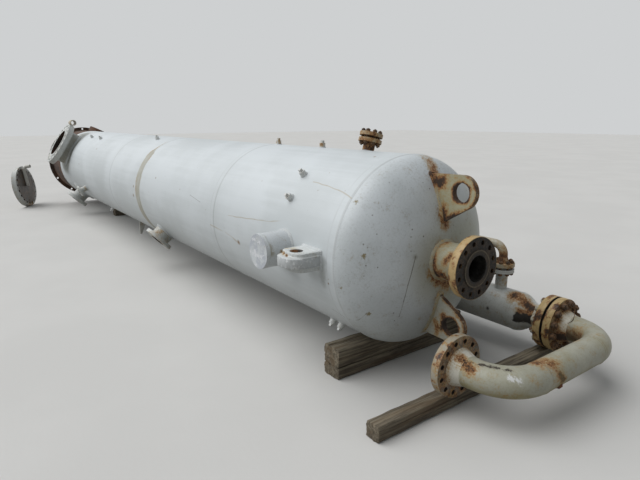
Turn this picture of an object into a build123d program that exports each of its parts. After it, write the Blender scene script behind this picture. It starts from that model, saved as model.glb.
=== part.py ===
from build123d import *
from dataclasses import dataclass
from math import cos, radians, sin, sqrt
import os

# Glycol contactor tower, lying on its side on timbers.
# Millimetres. The tower's axis is the X axis, with its top end towards +X, and +Z is up.
# The origin is the centre of the gas outlet's raised face.
# Clock angles run round the tower's axis: 0 is the +Y side, 90 is up, 180 is the -Y side.

# Pressure shell
shell_diameter = 1187.5
shell_wall = 35
top_course_length = 1585
second_course_length = 1948
third_course_length = 1224
bottom_course_length = 3377
head_wall = 38

# Skirt and base ring
skirt_length = 830
skirt_wall = 16
base_ring_width = 120
base_ring_thickness = 32
anchor_hole = 38
anchor_count = 12
skirt_opening_gap = 1
skirt_opening_clock = 60
skirt_collar_wall = 14
skirt_collar_length = 90

# Line flange of the gas outlet, the gas nozzles and the return bend
line_flange_diameter = 355.6
line_flange_thickness = 47.8
line_face_diameter = 215.9
line_face_height = 6.4
line_bolt_circle = 292.1
line_bolt_hole = 28.6
line_bolt_count = 12
line_barrel_diameter = 222.3
line_bore = 152.4
line_pipe_diameter = 168.3
line_pipe_wall = 11
line_hub_length = 69.5

# Lighter flange of the middle nozzle
mid_flange_diameter = 317.5
mid_flange_thickness = 36.6
mid_face_diameter = 215.9
mid_face_height = 1.6
mid_bolt_circle = 269.9
mid_bolt_hole = 22.2
mid_bolt_count = 12
mid_barrel_diameter = 206

# Small flange of the vent, the drain and the glycol line
small_flange_diameter = 165.1
small_flange_thickness = 25.4
small_face_diameter = 92.1
small_face_height = 6.4
small_bolt_circle = 127
small_bolt_hole = 19
small_bolt_count = 8
small_pipe_diameter = 60.3
small_pipe_wall = 5.5
small_hub_diameter = 84
small_hub_length = 41

# Manway
manway_flange_diameter = 742.9
manway_flange_thickness = 82.6
manway_face_diameter = 533.4
manway_face_height = 6.4
manway_bolt_circle = 654.1
manway_bolt_hole = 44.5
manway_bolt_count = 20
manway_barrel_diameter = 546
manway_bore = 457.2
manway_clock = 148
manway_above_bottom_seam = 443
manway_stand = 194.25

# Gas outlet in the top head
outlet_reach = 230

# Gas nozzles on the shell
inlet_clock = 225
inlet_above_bottom_seam = 816
inlet_stand = 180.25
inlet_pad_diameter = 380
inlet_pad_thickness = 18
mid_nozzle_clock = 222
mid_nozzle_below_second_seam = 1625
mid_nozzle_stand = 120.25

# Tapered clip under the shell
clip_below_fourth_seam = 93
clip_outer_edge = 232
clip_root_width = 82
clip_tip_width = 18
clip_drop = 740
clip_thickness = 20

# Small nozzles
vent_clock = 75
vent_below_seam = 576
vent_stand = 98.25
drain_clock = 204
drain_above_bottom_seam = 1715
drain_stand = 124.25
gasket_thickness = 4.5

# Lifting lugs on the top head
lug_thickness = 32
lug_radius = 97
lug_hole = 111
lug_root_back = 335
lug_root_rise = 89
lug_root_inset = 195
lug_root_drop = 225
upper_eye_out = 395
upper_eye_offset = 404
lower_eye_out = 378
lower_eye_offset = 386

# Lugs and trunnions on the tower's sides
side_lug_below_seam = 208
side_lug_root_width = 300
side_lug_tip_width = 190
side_lug_reach = 203
side_lug_thickness = 60
side_lug_corner = 45
side_lug_hole = 76
side_lug_eye_reach = 108
side_lug_cheek = 26
side_lug_cheek_inset = 45
trunnion_below_seam = 516
trunnion_diameter = 219.1
trunnion_wall = 18
trunnion_reach = 190
trunnion_cap = 20

# Gas and glycol heat exchanger beside the tower
exchanger_clock = -31
exchanger_stand = 428.25
exchanger_diameter = 273
exchanger_wall = 15
exchanger_length = 3300
reducer_length = 140
bracket_thickness = 20
bracket_width = 150
upper_bracket_below_seam = 480
lower_bracket_below_seam = 2250

# Return bend, unbolted from the gas outlet and swung down
bend_tangent = 1
bend_radius = 228.6
bend_open_extra = 24.5

# Glycol line from the exchanger to the shell
branch_from_end = 429
branch_rise = 150
glycol_elbow_radius = 76.2
glycol_straight = 10
glycol_inlet_below_seam = 760

# Plugged half couplings
coupling_diameter = 44
coupling_height = 34
coupling_root = 10
near_coupling_below_seam = 575
low_near_coupling_below_seam = 556
first_crest_coupling_below_seam = 938
second_crest_coupling_above_second_seam = 24
under_coupling_below_seam = 232
under_coupling_pitch = 88
third_course_coupling_below_third_seam = 483
lower_coupling_above_bottom_seam = 1900
foot_coupling_above_bottom_seam = 1308
low_side_coupling_above_bottom_seam = 2381
plug_square = 20
plug_height = 18

# Davit socket and the manway cover taken off
socket_diameter = 96
socket_web_width = 60
socket_web_thickness = 24
socket_wall = 12
socket_length = 170
cover_x = -9400
cover_y = -1100
cover_turn = 60
cover_lean = 8
arm_diameter = 60.3
arm_wall = 5.5
arm_height = 355
arm_hook = 130
arm_bend_radius = 75

# Timbers
ground_depth = 800
head_timber_width = 150
head_timber_height = 125
head_timber_length = 1170
head_timber_near_end = 470
head_timber_below_seam = 175
foot_timber_above_bottom_seam = 1284
foot_timber_near_end = 60
bend_timber_width = 97
bend_timber_front_gap = 3
bend_timber_near_end = 706
bend_timber_length = 2050

# Gap left at a welded root, so that each piece stays its own solid
weld_gap = 0.3

shell_radius = shell_diameter / 2
head_depth = shell_radius / 2
shell_length = top_course_length + second_course_length + third_course_length + bottom_course_length
seam = -(outlet_reach + head_depth)
second_seam = seam - top_course_length
third_seam = second_seam - second_course_length
fourth_seam = third_seam - third_course_length
bottom_seam = seam - shell_length


@dataclass
class FlangeSize:
    """The sizes of one standard flange: disc, raised face and bolt holes."""
    diameter: float
    thickness: float
    face_diameter: float
    face_height: float
    bolt_circle: float
    bolt_hole: float
    bolt_count: int

    @property
    def depth(self):
        """From the raised face to the back of the disc."""
        return self.thickness + self.face_height


line_flange = FlangeSize(
    line_flange_diameter, line_flange_thickness, line_face_diameter, line_face_height,
    line_bolt_circle, line_bolt_hole, line_bolt_count,
)
mid_flange = FlangeSize(
    mid_flange_diameter, mid_flange_thickness, mid_face_diameter, mid_face_height,
    mid_bolt_circle, mid_bolt_hole, mid_bolt_count,
)
small_flange = FlangeSize(
    small_flange_diameter, small_flange_thickness, small_face_diameter, small_face_height,
    small_bolt_circle, small_bolt_hole, small_bolt_count,
)
manway_flange = FlangeSize(
    manway_flange_diameter, manway_flange_thickness, manway_face_diameter, manway_face_height,
    manway_bolt_circle, manway_bolt_hole, manway_bolt_count,
)


def radial_plane(clock, x, stand):
    """Plane facing outwards at a clock angle, standing this far off the shell."""
    turn = radians(clock)
    outward = (0, cos(turn), sin(turn))
    reach = shell_radius + stand
    centre = (x, reach * cos(turn), reach * sin(turn))
    return Plane(origin=centre, x_dir=(1, 0, 0), z_dir=outward)


def sagitta(radius, width):
    """How far a round of this radius falls away over a width centred on it."""
    return radius - sqrt(radius**2 - (width / 2) ** 2)


def add_flange_disc(plane, size):
    """Disc and raised face behind a mating plane, in the part being built."""
    with BuildSketch(plane.offset(-size.depth)) as disc:
        Circle(size.diameter / 2)
    extrude(disc.sketch, amount=size.thickness)
    with BuildSketch(plane.offset(-size.face_height)) as face:
        Circle(size.face_diameter / 2)
    extrude(face.sketch, amount=size.face_height)


def cut_bore(plane, diameter, depth):
    """Round bore from a mating plane inwards."""
    with BuildSketch(plane) as bore:
        Circle(diameter / 2)
    extrude(bore.sketch, amount=-depth, mode=Mode.SUBTRACT)


def cut_bolt_holes(plane, size):
    """Bolt holes that straddle the centre lines."""
    with BuildSketch(plane) as holes:
        with PolarLocations(size.bolt_circle / 2, size.bolt_count, start_angle=180 / size.bolt_count):
            Circle(size.bolt_hole / 2)
    extrude(holes.sketch, amount=-size.depth, mode=Mode.SUBTRACT)


def dome_solid(plane, radius, depth):
    """Solid half ellipsoid whose crown points along the plane's own x direction."""
    with BuildPart() as dome:
        with BuildSketch(plane):
            with BuildLine():
                EllipticalCenterArc((0, 0), depth, radius, arc_size=90)
                Polyline((0, radius), (0, 0), (depth, 0))
            make_face()
        revolve(axis=Axis.X)
    return dome.part


with BuildPart() as shell_bar:
    with BuildSketch(Plane.YZ.offset(bottom_seam)):
        Circle(shell_radius + weld_gap)
    extrude(amount=shell_length)
shell_envelope = shell_bar.part

top_head_plane = Plane(origin=(seam, 0, 0), x_dir=(1, 0, 0), z_dir=(0, 0, 1))
bottom_head_plane = Plane(origin=(bottom_seam, 0, 0), x_dir=(-1, 0, 0), z_dir=(0, 0, 1))
top_head_envelope = dome_solid(top_head_plane, shell_radius + weld_gap, head_depth + weld_gap)
bottom_head_envelope = dome_solid(bottom_head_plane, shell_radius + weld_gap, head_depth + weld_gap)

# Where the nozzles stand
outlet_plane = Plane(origin=(0, 0, 0), x_dir=(0, 1, 0), z_dir=(1, 0, 0))
manway_plane = radial_plane(manway_clock, bottom_seam + manway_above_bottom_seam, manway_stand)
inlet_plane = radial_plane(inlet_clock, bottom_seam + inlet_above_bottom_seam, inlet_stand)
mid_nozzle_plane = radial_plane(
    mid_nozzle_clock, second_seam - mid_nozzle_below_second_seam, mid_nozzle_stand)
vent_plane = radial_plane(vent_clock, seam - vent_below_seam, vent_stand)
drain_plane = radial_plane(drain_clock, bottom_seam + drain_above_bottom_seam, drain_stand)

small_bore = small_pipe_diameter - 2 * small_pipe_wall
line_pipe_bore = line_pipe_diameter - 2 * line_pipe_wall

# The exchanger lies parallel to the tower
exchanger_distance = shell_radius + exchanger_stand
exchanger_y = exchanger_distance * cos(radians(exchanger_clock))
exchanger_z = exchanger_distance * sin(radians(exchanger_clock))

# The glycol line leaves the exchanger's top and enters the shell's far side
glycol_joint_z = exchanger_z + exchanger_diameter / 2 + branch_rise
glycol_pipe_start_z = glycol_joint_z + gasket_thickness + small_flange.depth + small_hub_length
glycol_line_z = glycol_pipe_start_z + glycol_straight + glycol_elbow_radius
glycol_inlet_plane = Plane(
    origin=(seam - glycol_inlet_below_seam, exchanger_y, glycol_line_z),
    x_dir=(1, 0, 0), z_dir=(0, 1, 0),
)


# Shell courses

def shell_course(start, length, openings):
    """Rolled plate ring from a girth seam downwards, with a round opening for each nozzle."""
    with BuildPart() as course:
        with BuildSketch(Plane.YZ.offset(start - length)):
            Circle(shell_radius)
            Circle(shell_radius - shell_wall, mode=Mode.SUBTRACT)
        extrude(amount=length)
        for plane, barrel in openings:
            cut_bore(plane, barrel + 2 * weld_gap, shell_radius)
    return course


shell_course_top = shell_course(
    seam, top_course_length,
    [(vent_plane, small_hub_diameter), (glycol_inlet_plane, small_pipe_diameter)])
shell_course_second = shell_course(
    second_seam, second_course_length, [(mid_nozzle_plane, mid_barrel_diameter)])
shell_course_third = shell_course(third_seam, third_course_length, [])
shell_course_bottom = shell_course(
    fourth_seam, bottom_course_length,
    [
        (manway_plane, manway_barrel_diameter),
        (inlet_plane, line_barrel_diameter),
        (drain_plane, small_hub_diameter),
    ])


# Heads

def dished_head(plane):
    """Two-to-one elliptical head of even wall, its crown along the plane's x direction."""
    with BuildPart() as head:
        with BuildSketch(plane):
            with BuildLine():
                EllipticalCenterArc((0, 0), head_depth, shell_radius, arc_size=90)
                EllipticalCenterArc(
                    (0, 0), head_depth - head_wall, shell_radius - head_wall, arc_size=90)
                Line((0, shell_radius - head_wall), (0, shell_radius))
                Line((head_depth - head_wall, 0), (head_depth, 0))
            make_face()
        revolve(axis=Axis.X)
    return head


with BuildPart() as top_head:
    add(dished_head(top_head_plane).part)
    cut_bore(outlet_plane, line_barrel_diameter + 2 * weld_gap, outlet_reach + head_depth)
bottom_head = dished_head(bottom_head_plane)

# Skirt: a plate ring flush with the shell, on a bolted base ring

base_x = bottom_seam - skirt_length
skirt_opening = skirt_length - base_ring_thickness - head_depth - 2 * skirt_opening_gap
ring_outer_radius = shell_radius + base_ring_width / 2
ring_inner_radius = shell_radius - skirt_wall - base_ring_width / 2
skirt_opening_plane = Plane(
    origin=(
        (bottom_seam - head_depth + base_x + base_ring_thickness) / 2,
        (shell_radius + skirt_collar_length / 2) * cos(radians(skirt_opening_clock)),
        (shell_radius + skirt_collar_length / 2) * sin(radians(skirt_opening_clock)),
    ),
    x_dir=(1, 0, 0),
    z_dir=(0, cos(radians(skirt_opening_clock)), sin(radians(skirt_opening_clock))),
)

with BuildPart() as skirt:
    with BuildSketch(Plane.YZ.offset(base_x + base_ring_thickness)):
        Circle(shell_radius)
        Circle(shell_radius - skirt_wall, mode=Mode.SUBTRACT)
    extrude(amount=skirt_length - base_ring_thickness - weld_gap)
    add(bottom_head_envelope, mode=Mode.SUBTRACT)
    cut_bore(skirt_opening_plane, skirt_opening, shell_radius)

# Collar round the skirt's opening
with BuildPart() as skirt_collar:
    with BuildSketch(skirt_opening_plane):
        Circle(skirt_opening / 2)
        Circle(skirt_opening / 2 - skirt_collar_wall, mode=Mode.SUBTRACT)
    extrude(amount=-skirt_collar_length)
    with BuildSketch(Plane.YZ.offset(base_x)):
        Circle(shell_radius + weld_gap)
    extrude(amount=skirt_length, mode=Mode.SUBTRACT)

with BuildPart() as base_ring:
    with BuildSketch(Plane.YZ.offset(base_x)):
        Circle(ring_outer_radius)
        Circle(ring_inner_radius, mode=Mode.SUBTRACT)
        with PolarLocations(shell_radius + base_ring_width / 4, anchor_count):
            Circle(anchor_hole / 2, mode=Mode.SUBTRACT)
    extrude(amount=base_ring_thickness)


# Forged nozzles: flange, straight barrel and bore in one piece, set through the vessel's wall

def forged_nozzle(plane, size, barrel, bore, length):
    """Nozzle of this length from its mating plane to its inner end."""
    with BuildPart() as forging:
        add_flange_disc(plane, size)
        with BuildSketch(plane.offset(-size.depth)):
            Circle(barrel / 2)
        extrude(amount=size.depth - length)
        cut_bore(plane, bore, length)
        cut_bolt_holes(plane, size)
    return forging


def shell_nozzle(plane, size, stand, barrel, bore):
    """Nozzle through the shell's plate; its inner end meets the inside of the wall at its edge."""
    length = stand + shell_wall + sagitta(shell_radius - shell_wall, barrel)
    return forged_nozzle(plane, size, barrel, bore, length)


gas_outlet_nozzle = forged_nozzle(
    outlet_plane, line_flange, line_barrel_diameter, line_bore, outlet_reach + head_wall)
gas_inlet_nozzle = shell_nozzle(
    inlet_plane, line_flange, inlet_stand, line_barrel_diameter, line_bore)
middle_nozzle = shell_nozzle(
    mid_nozzle_plane, mid_flange, mid_nozzle_stand, mid_barrel_diameter, line_bore)
manway_nozzle = shell_nozzle(
    manway_plane, manway_flange, manway_stand, manway_barrel_diameter, manway_bore)
drain_nozzle = shell_nozzle(drain_plane, small_flange, drain_stand, small_hub_diameter, small_bore)
vent_nozzle = shell_nozzle(vent_plane, small_flange, vent_stand, small_hub_diameter, small_bore)

# Reinforcing pad round the gas inlet, rolled to the shell
inlet_pad_outside = shell_radius + inlet_pad_thickness
with BuildPart() as inlet_pad:
    with BuildSketch(inlet_plane.offset(-inlet_stand - shell_radius)):
        Circle(inlet_pad_diameter / 2)
        Circle(line_barrel_diameter / 2 + weld_gap, mode=Mode.SUBTRACT)
    extrude(amount=inlet_stand + shell_radius)
    with BuildSketch(Plane.YZ.offset(bottom_seam)):
        Circle(inlet_pad_outside)
    extrude(amount=shell_length, mode=Mode.INTERSECT)
    add(shell_envelope, mode=Mode.SUBTRACT)

# Blind flange that closes the vent
vent_blind_plane = Plane(
    origin=vent_plane.offset(gasket_thickness).origin, x_dir=(1, 0, 0), z_dir=-vent_plane.z_dir)
with BuildPart() as vent_blind:
    add_flange_disc(vent_blind_plane, small_flange)
    cut_bolt_holes(vent_blind_plane, small_flange)


# Lifting lugs in the tower's upright middle plane, one above the axis and one below

def head_lug(side, eye_out, eye_offset):
    """Plate with an eye; side is 1 above the axis and -1 below it."""
    eye = (seam + eye_out, side * eye_offset)
    outer_root = (eye[0] - lug_root_back, eye[1] + side * lug_root_rise)
    inner_root = (eye[0] - lug_root_inset, eye[1] - side * lug_root_drop)
    with BuildPart() as lug:
        with BuildSketch(Plane.XZ.offset(-lug_thickness / 2)):
            with BuildLine():
                CenterArc(eye, lug_radius, 0, 360)
                Line(outer_root, inner_root)
            make_hull()
            with Locations(eye):
                Circle(lug_hole / 2, mode=Mode.SUBTRACT)
        extrude(amount=lug_thickness)
        add(top_head_envelope, mode=Mode.SUBTRACT)
    return lug


upper_lifting_lug = head_lug(1, upper_eye_out, upper_eye_offset)
lower_lifting_lug = head_lug(-1, lower_eye_out, lower_eye_offset)


# Clip: a tapered plate across the tower, its outer edge upright
with BuildPart() as support_clip:
    with BuildSketch(Plane.YZ.offset(fourth_seam - clip_below_fourth_seam)):
        with BuildLine():
            Polyline(
                (-clip_outer_edge, -clip_drop),
                (-clip_outer_edge, 0),
                (clip_root_width - clip_outer_edge, 0),
                (clip_root_width - clip_outer_edge, -shell_radius),
                (clip_tip_width - clip_outer_edge, -clip_drop),
                close=True,
            )
        make_face()
    extrude(amount=clip_thickness)
    add(shell_envelope, mode=Mode.SUBTRACT)


# Side lugs: a thick plate along the tower with a cheek plate on each face

def lug_plate(side, root_width, tip_width, tip_reach, thickness):
    """Plate that narrows from the shell to a tip with rounded corners, in the part being built."""
    middle = seam - side_lug_below_seam
    root_reach = shell_radius - shell_wall
    with BuildSketch(Plane.XY.offset(-thickness / 2)) as outline:
        with BuildLine():
            Polyline(
                (middle - root_width / 2, side * root_reach),
                (middle - tip_width / 2, side * tip_reach),
                (middle + tip_width / 2, side * tip_reach),
                (middle + root_width / 2, side * root_reach),
                close=True,
            )
        make_face()
        tip_corners = outline.vertices().sort_by(lambda corner: side * corner.Y)[-2:]
        fillet(tip_corners, radius=side_lug_corner)
    extrude(outline.sketch, amount=thickness)


def side_lug(side):
    tip = shell_radius + side_lug_reach
    full_thickness = side_lug_thickness + 2 * side_lug_cheek
    with BuildPart() as lug:
        lug_plate(side, side_lug_root_width, side_lug_tip_width, tip, side_lug_thickness)
        lug_plate(
            side, side_lug_root_width - side_lug_cheek_inset,
            side_lug_tip_width - side_lug_cheek_inset, tip - side_lug_cheek_inset, full_thickness)
        with BuildSketch(Plane.XY.offset(-full_thickness / 2)):
            with Locations((seam - side_lug_below_seam, side * (shell_radius + side_lug_eye_reach))):
                Circle(side_lug_hole / 2)
        extrude(amount=full_thickness, mode=Mode.SUBTRACT)
        add(shell_envelope, mode=Mode.SUBTRACT)
    return lug


with BuildPart() as side_lugs:
    for side in (-1, 1):
        add(side_lug(side).part)


# Trunnions: pipe stubs closed by a plate

def trunnion(clock):
    outer_plane = radial_plane(clock, seam - trunnion_below_seam, trunnion_reach)
    length = trunnion_reach + shell_wall
    with BuildPart() as stub:
        with BuildSketch(outer_plane):
            Circle(trunnion_diameter / 2)
        extrude(amount=-length)
        with BuildSketch(outer_plane.offset(-trunnion_cap)):
            Circle(trunnion_diameter / 2 - trunnion_wall)
        extrude(amount=-length, mode=Mode.SUBTRACT)
        add(shell_envelope, mode=Mode.SUBTRACT)
    return stub


with BuildPart() as trunnions:
    for clock in (0, 180):
        add(trunnion(clock).part)


# Heat exchanger beside the tower: a pipe shell with a reducer and a flange at each end

def exchanger_plane(x, way):
    """Plane square to the exchanger's axis that faces up the tower (1) or down it (-1)."""
    return Plane(origin=(x, exchanger_y, exchanger_z), x_dir=(0, 1, 0), z_dir=(way, 0, 0))


def weld_neck_flange(plane, size, hub_diameter, hub_length, pipe_diameter, bore):
    with BuildPart() as flange:
        add_flange_disc(plane, size)
        with BuildSketch(plane.offset(-size.depth)):
            Circle(hub_diameter / 2)
        with BuildSketch(plane.offset(-size.depth - hub_length)):
            Circle(pipe_diameter / 2)
        loft()
        cut_bore(plane, bore, size.depth + hub_length)
        cut_bolt_holes(plane, size)
    return flange


def line_weld_neck(plane):
    return weld_neck_flange(
        plane, line_flange, line_barrel_diameter, line_hub_length, line_pipe_diameter, line_pipe_bore)


def reducer(x, way):
    """Concentric reducer from the exchanger's shell to the line pipe, towards way."""
    axis = Axis((x, exchanger_y, exchanger_z), (1, 0, 0))
    big = exchanger_diameter / 2
    small = line_pipe_diameter / 2
    with BuildPart() as cone:
        with BuildSketch(Plane(origin=(x, exchanger_y, exchanger_z), x_dir=(way, 0, 0), z_dir=(0, 0, 1))):
            with BuildLine():
                Spline((0, big), (reducer_length, small), tangents=((1, 0), (1, 0)))
                Spline(
                    (0, big - exchanger_wall), (reducer_length, small - line_pipe_wall),
                    tangents=((1, 0), (1, 0)))
                Line((0, big), (0, big - exchanger_wall))
                Line((reducer_length, small), (reducer_length, small - line_pipe_wall))
            make_face()
        revolve(axis=axis)
    return cone


end_length = line_flange.depth + line_hub_length + reducer_length
exchanger_low_x = -exchanger_length
branch_places = (-branch_from_end, exchanger_low_x + branch_from_end)


def branch_plane(x):
    return Plane(origin=(x, exchanger_y, glycol_joint_z), x_dir=(1, 0, 0), z_dir=(0, 0, 1))


with BuildPart() as exchanger_shell:
    with BuildSketch(exchanger_plane(exchanger_low_x + end_length, 1)):
        Circle(exchanger_diameter / 2)
        Circle(exchanger_diameter / 2 - exchanger_wall, mode=Mode.SUBTRACT)
    extrude(amount=exchanger_length - 2 * end_length)
    for x in branch_places:
        cut_bore(
            branch_plane(x), small_hub_diameter + 2 * weld_gap, branch_rise + exchanger_diameter / 2)

with BuildPart() as exchanger_reducers:
    for x, way in ((-end_length, 1), (exchanger_low_x + end_length, -1)):
        add(reducer(x, way).part)
exchanger_upper_flange = line_weld_neck(exchanger_plane(0, 1))
exchanger_lower_flange = line_weld_neck(exchanger_plane(exchanger_low_x, -1))

exchanger_inner_radius = exchanger_diameter / 2 - exchanger_wall
branch_length = branch_rise + exchanger_wall + sagitta(exchanger_inner_radius, small_hub_diameter)
with BuildPart() as exchanger_branches:
    for x in branch_places:
        branch = forged_nozzle(
            branch_plane(x), small_flange, small_hub_diameter, small_bore, branch_length)
        add(branch.part)


def bracket(x):
    """Plate between the tower and the exchanger, hollowed to both."""
    turn = radians(exchanger_clock)
    across = Plane(origin=(x, 0, 0), x_dir=(0, cos(turn), sin(turn)), z_dir=(1, 0, 0))
    with BuildPart() as plate:
        with BuildSketch(across.offset(-bracket_thickness / 2)):
            Rectangle(exchanger_distance, bracket_width, align=(Align.MIN, Align.CENTER))
            Circle(shell_radius + weld_gap, mode=Mode.SUBTRACT)
            with Locations((exchanger_distance, 0)):
                Circle(exchanger_diameter / 2 + weld_gap, mode=Mode.SUBTRACT)
        extrude(amount=bracket_thickness)
    return plate


with BuildPart() as exchanger_brackets:
    for below in (upper_bracket_below_seam, lower_bracket_below_seam):
        add(bracket(seam - below).part)

# Glycol line: flange that faces down, elbow, run along the tower, elbow into the shell
glycol_start = (-branch_from_end, exchanger_y, glycol_pipe_start_z)
glycol_inlet_x = seam - glycol_inlet_below_seam
with BuildPart() as glycol_line:
    with BuildLine() as glycol_path:
        FilletPolyline(
            glycol_start,
            (-branch_from_end, exchanger_y, glycol_line_z),
            (glycol_inlet_x, exchanger_y, glycol_line_z),
            (glycol_inlet_x, shell_radius - shell_wall, glycol_line_z),
            radius=glycol_elbow_radius,
        )
    with BuildSketch(Plane(origin=glycol_start, x_dir=(1, 0, 0), z_dir=(0, 0, 1))):
        Circle(small_pipe_diameter / 2)
        Circle(small_bore / 2, mode=Mode.SUBTRACT)
    sweep()

glycol_line_flange = weld_neck_flange(
    Plane(
        origin=(-branch_from_end, exchanger_y, glycol_joint_z + gasket_thickness),
        x_dir=(1, 0, 0), z_dir=(0, 0, -1)),
    small_flange, small_hub_diameter, small_hub_length, small_pipe_diameter, small_bore)

# Return bend: bolted to the exchanger, its other end open beside the timber. Two elbows are
# welded to a straight crossover pipe.
bend_open_y = exchanger_y - exchanger_distance
bend_start_x = gasket_thickness + line_flange.depth + line_hub_length
bend_open_x = bend_start_x - bend_open_extra
bend_corner_x = bend_start_x + bend_tangent + bend_radius


def line_pipe_section(plane):
    with BuildSketch(plane) as section:
        Circle(line_pipe_diameter / 2)
        Circle(line_pipe_bore / 2, mode=Mode.SUBTRACT)
    return section.sketch


with BuildPart() as bend_elbows:
    for start_x, y, way in ((bend_start_x, exchanger_y, -1), (bend_open_x, bend_open_y, 1)):
        with BuildLine() as elbow_path:
            Line((start_x, y, exchanger_z), (bend_corner_x - bend_radius, y, exchanger_z))
            JernArc(
                (bend_corner_x - bend_radius, y, exchanger_z), (1, 0, 0), bend_radius, 90 * way)
        start_plane = Plane(origin=(start_x, y, exchanger_z), x_dir=(0, 1, 0), z_dir=(1, 0, 0))
        sweep(line_pipe_section(start_plane), path=elbow_path.wires()[0])

crossover_start_y = bend_open_y + bend_radius + weld_gap
crossover_end_y = exchanger_y - bend_radius - weld_gap
crossover_plane = Plane(
    origin=(bend_corner_x, crossover_start_y, exchanger_z), x_dir=(1, 0, 0), z_dir=(0, 1, 0))
with BuildPart() as bend_crossover:
    extrude(line_pipe_section(crossover_plane), amount=crossover_end_y - crossover_start_y)


def bend_flange(x, y):
    """Flange at an end of the bend, its mating plane at x."""
    return line_weld_neck(
        Plane(origin=(x, y, exchanger_z), x_dir=(0, 1, 0), z_dir=(-1, 0, 0)))


bend_fixed_flange = bend_flange(gasket_thickness, exchanger_y)
bend_open_flange = bend_flange(gasket_thickness - bend_open_extra, bend_open_y)

# Gaskets in the three bolted joints
with BuildPart() as gaskets:
    for plane, size, bore in (
        (exchanger_plane(0, 1), line_flange, line_bore),
        (branch_plane(-branch_from_end), small_flange, small_pipe_diameter),
        (vent_plane, small_flange, small_pipe_diameter),
    ):
        with BuildSketch(plane):
            Circle(size.face_diameter / 2)
            Circle(bore / 2, mode=Mode.SUBTRACT)
        extrude(amount=gasket_thickness)

# Half couplings closed by square-headed plugs: clock angle and place along the tower
coupling_places = (
    (131.5, seam - near_coupling_below_seam),
    (149, seam - low_near_coupling_below_seam),
    (88, seam - first_crest_coupling_below_seam),
    (88, second_seam + second_crest_coupling_above_second_seam),
    (107.3, third_seam - third_course_coupling_below_third_seam),
    (120.4, bottom_seam + lower_coupling_above_bottom_seam),
    (119.4, bottom_seam + foot_coupling_above_bottom_seam),
    (235.5, seam - under_coupling_below_seam),
    (235.5, seam - under_coupling_below_seam - under_coupling_pitch),
    (235.2, bottom_seam + low_side_coupling_above_bottom_seam),
)
with BuildPart() as plugged_couplings:
    for clock, x in coupling_places:
        top = radial_plane(clock, x, coupling_height)
        with BuildSketch(top):
            Circle(coupling_diameter / 2)
        extrude(amount=-coupling_height - coupling_root)
        with BuildSketch(top):
            Rectangle(plug_square, plug_square)
        extrude(amount=plug_height)
    add(shell_envelope, mode=Mode.SUBTRACT)

# Davit socket on the manway flange's upper rim, its axis along the tower
socket_out = manway_flange_diameter / 2 + socket_diameter / 2
disc_middle = manway_face_height + manway_flange_thickness / 2
socket_centre = manway_plane.from_local_coords((0, socket_out, -disc_middle))
socket_plane = Plane(origin=socket_centre, x_dir=manway_plane.y_dir, z_dir=(1, 0, 0))
with BuildPart() as davit_socket:
    with BuildSketch(socket_plane.offset(-socket_length / 2)):
        Circle(socket_diameter / 2)
    extrude(amount=socket_length)
    with BuildSketch(socket_plane.offset(-socket_web_width / 2)):
        Rectangle(socket_diameter, socket_web_thickness, align=(Align.MAX, Align.CENTER))
    extrude(amount=socket_web_width)
    with BuildSketch(socket_plane.offset(-socket_length / 2)):
        Circle(socket_diameter / 2 - socket_wall)
    extrude(amount=socket_length, mode=Mode.SUBTRACT)
    with BuildSketch(manway_plane.offset(socket_length / 2)):
        Circle(manway_flange_diameter / 2 + weld_gap)
    extrude(amount=-socket_length, mode=Mode.SUBTRACT)

# Manway cover, taken off: it stands on the ground and leans back
lean = radians(cover_lean)
face_out = (
    cos(lean) * cos(radians(cover_turn)), cos(lean) * sin(radians(cover_turn)), sin(lean))
cover_radius = manway_flange_diameter / 2
cover_middle_z = -ground_depth + cover_radius * cos(lean) + manway_flange_thickness * sin(lean)
cover_plane = Plane(
    origin=(cover_x, cover_y, cover_middle_z),
    x_dir=(-sin(radians(cover_turn)), cos(radians(cover_turn)), 0), z_dir=face_out)
cover_back_plane = Plane(
    origin=cover_plane.offset(-manway_flange.depth).origin,
    x_dir=cover_plane.x_dir, z_dir=-cover_plane.z_dir)
with BuildPart() as manway_cover:
    add_flange_disc(cover_back_plane, manway_flange)
    cut_bolt_holes(cover_back_plane, manway_flange)

# Davit arm: a pipe up the cover's face that hooks forwards at the top
arm_stand_off = arm_diameter / 2 + weld_gap
arm_start = cover_plane.from_local_coords((0, 0, arm_stand_off))
arm_corner = cover_plane.from_local_coords((0, arm_height, arm_stand_off))
arm_tip = cover_plane.from_local_coords((0, arm_height, arm_stand_off + arm_hook))
with BuildPart() as davit_arm:
    with BuildLine():
        FilletPolyline(arm_start, arm_corner, arm_tip, radius=arm_bend_radius)
    with BuildSketch(Plane(origin=arm_start, x_dir=cover_plane.x_dir, z_dir=cover_plane.y_dir)):
        Circle(arm_diameter / 2)
        Circle(arm_diameter / 2 - arm_wall, mode=Mode.SUBTRACT)
    sweep()


# Timbers

def timber(centre_x, near_end, length, width, top_z, height):
    """Squared timber across the tower, its near end on the -Y side."""
    with BuildPart() as beam:
        with BuildSketch(Plane.XY.offset(top_z - height)):
            with Locations((centre_x, -near_end)):
                Rectangle(width, length, align=(Align.CENTER, Align.MIN))
        extrude(amount=height)
    return beam


stack_top = -shell_radius - weld_gap
lower_timber_top = stack_top - head_timber_height - weld_gap


def timber_stack(x, near_end):
    """Two timbers, one on the other, under the shell."""
    with BuildPart() as stack:
        for top_z, height in (
            (stack_top, head_timber_height),
            (lower_timber_top, ground_depth + lower_timber_top),
        ):
            add(timber(x, near_end, head_timber_length, head_timber_width, top_z, height).part)
    return stack


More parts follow.
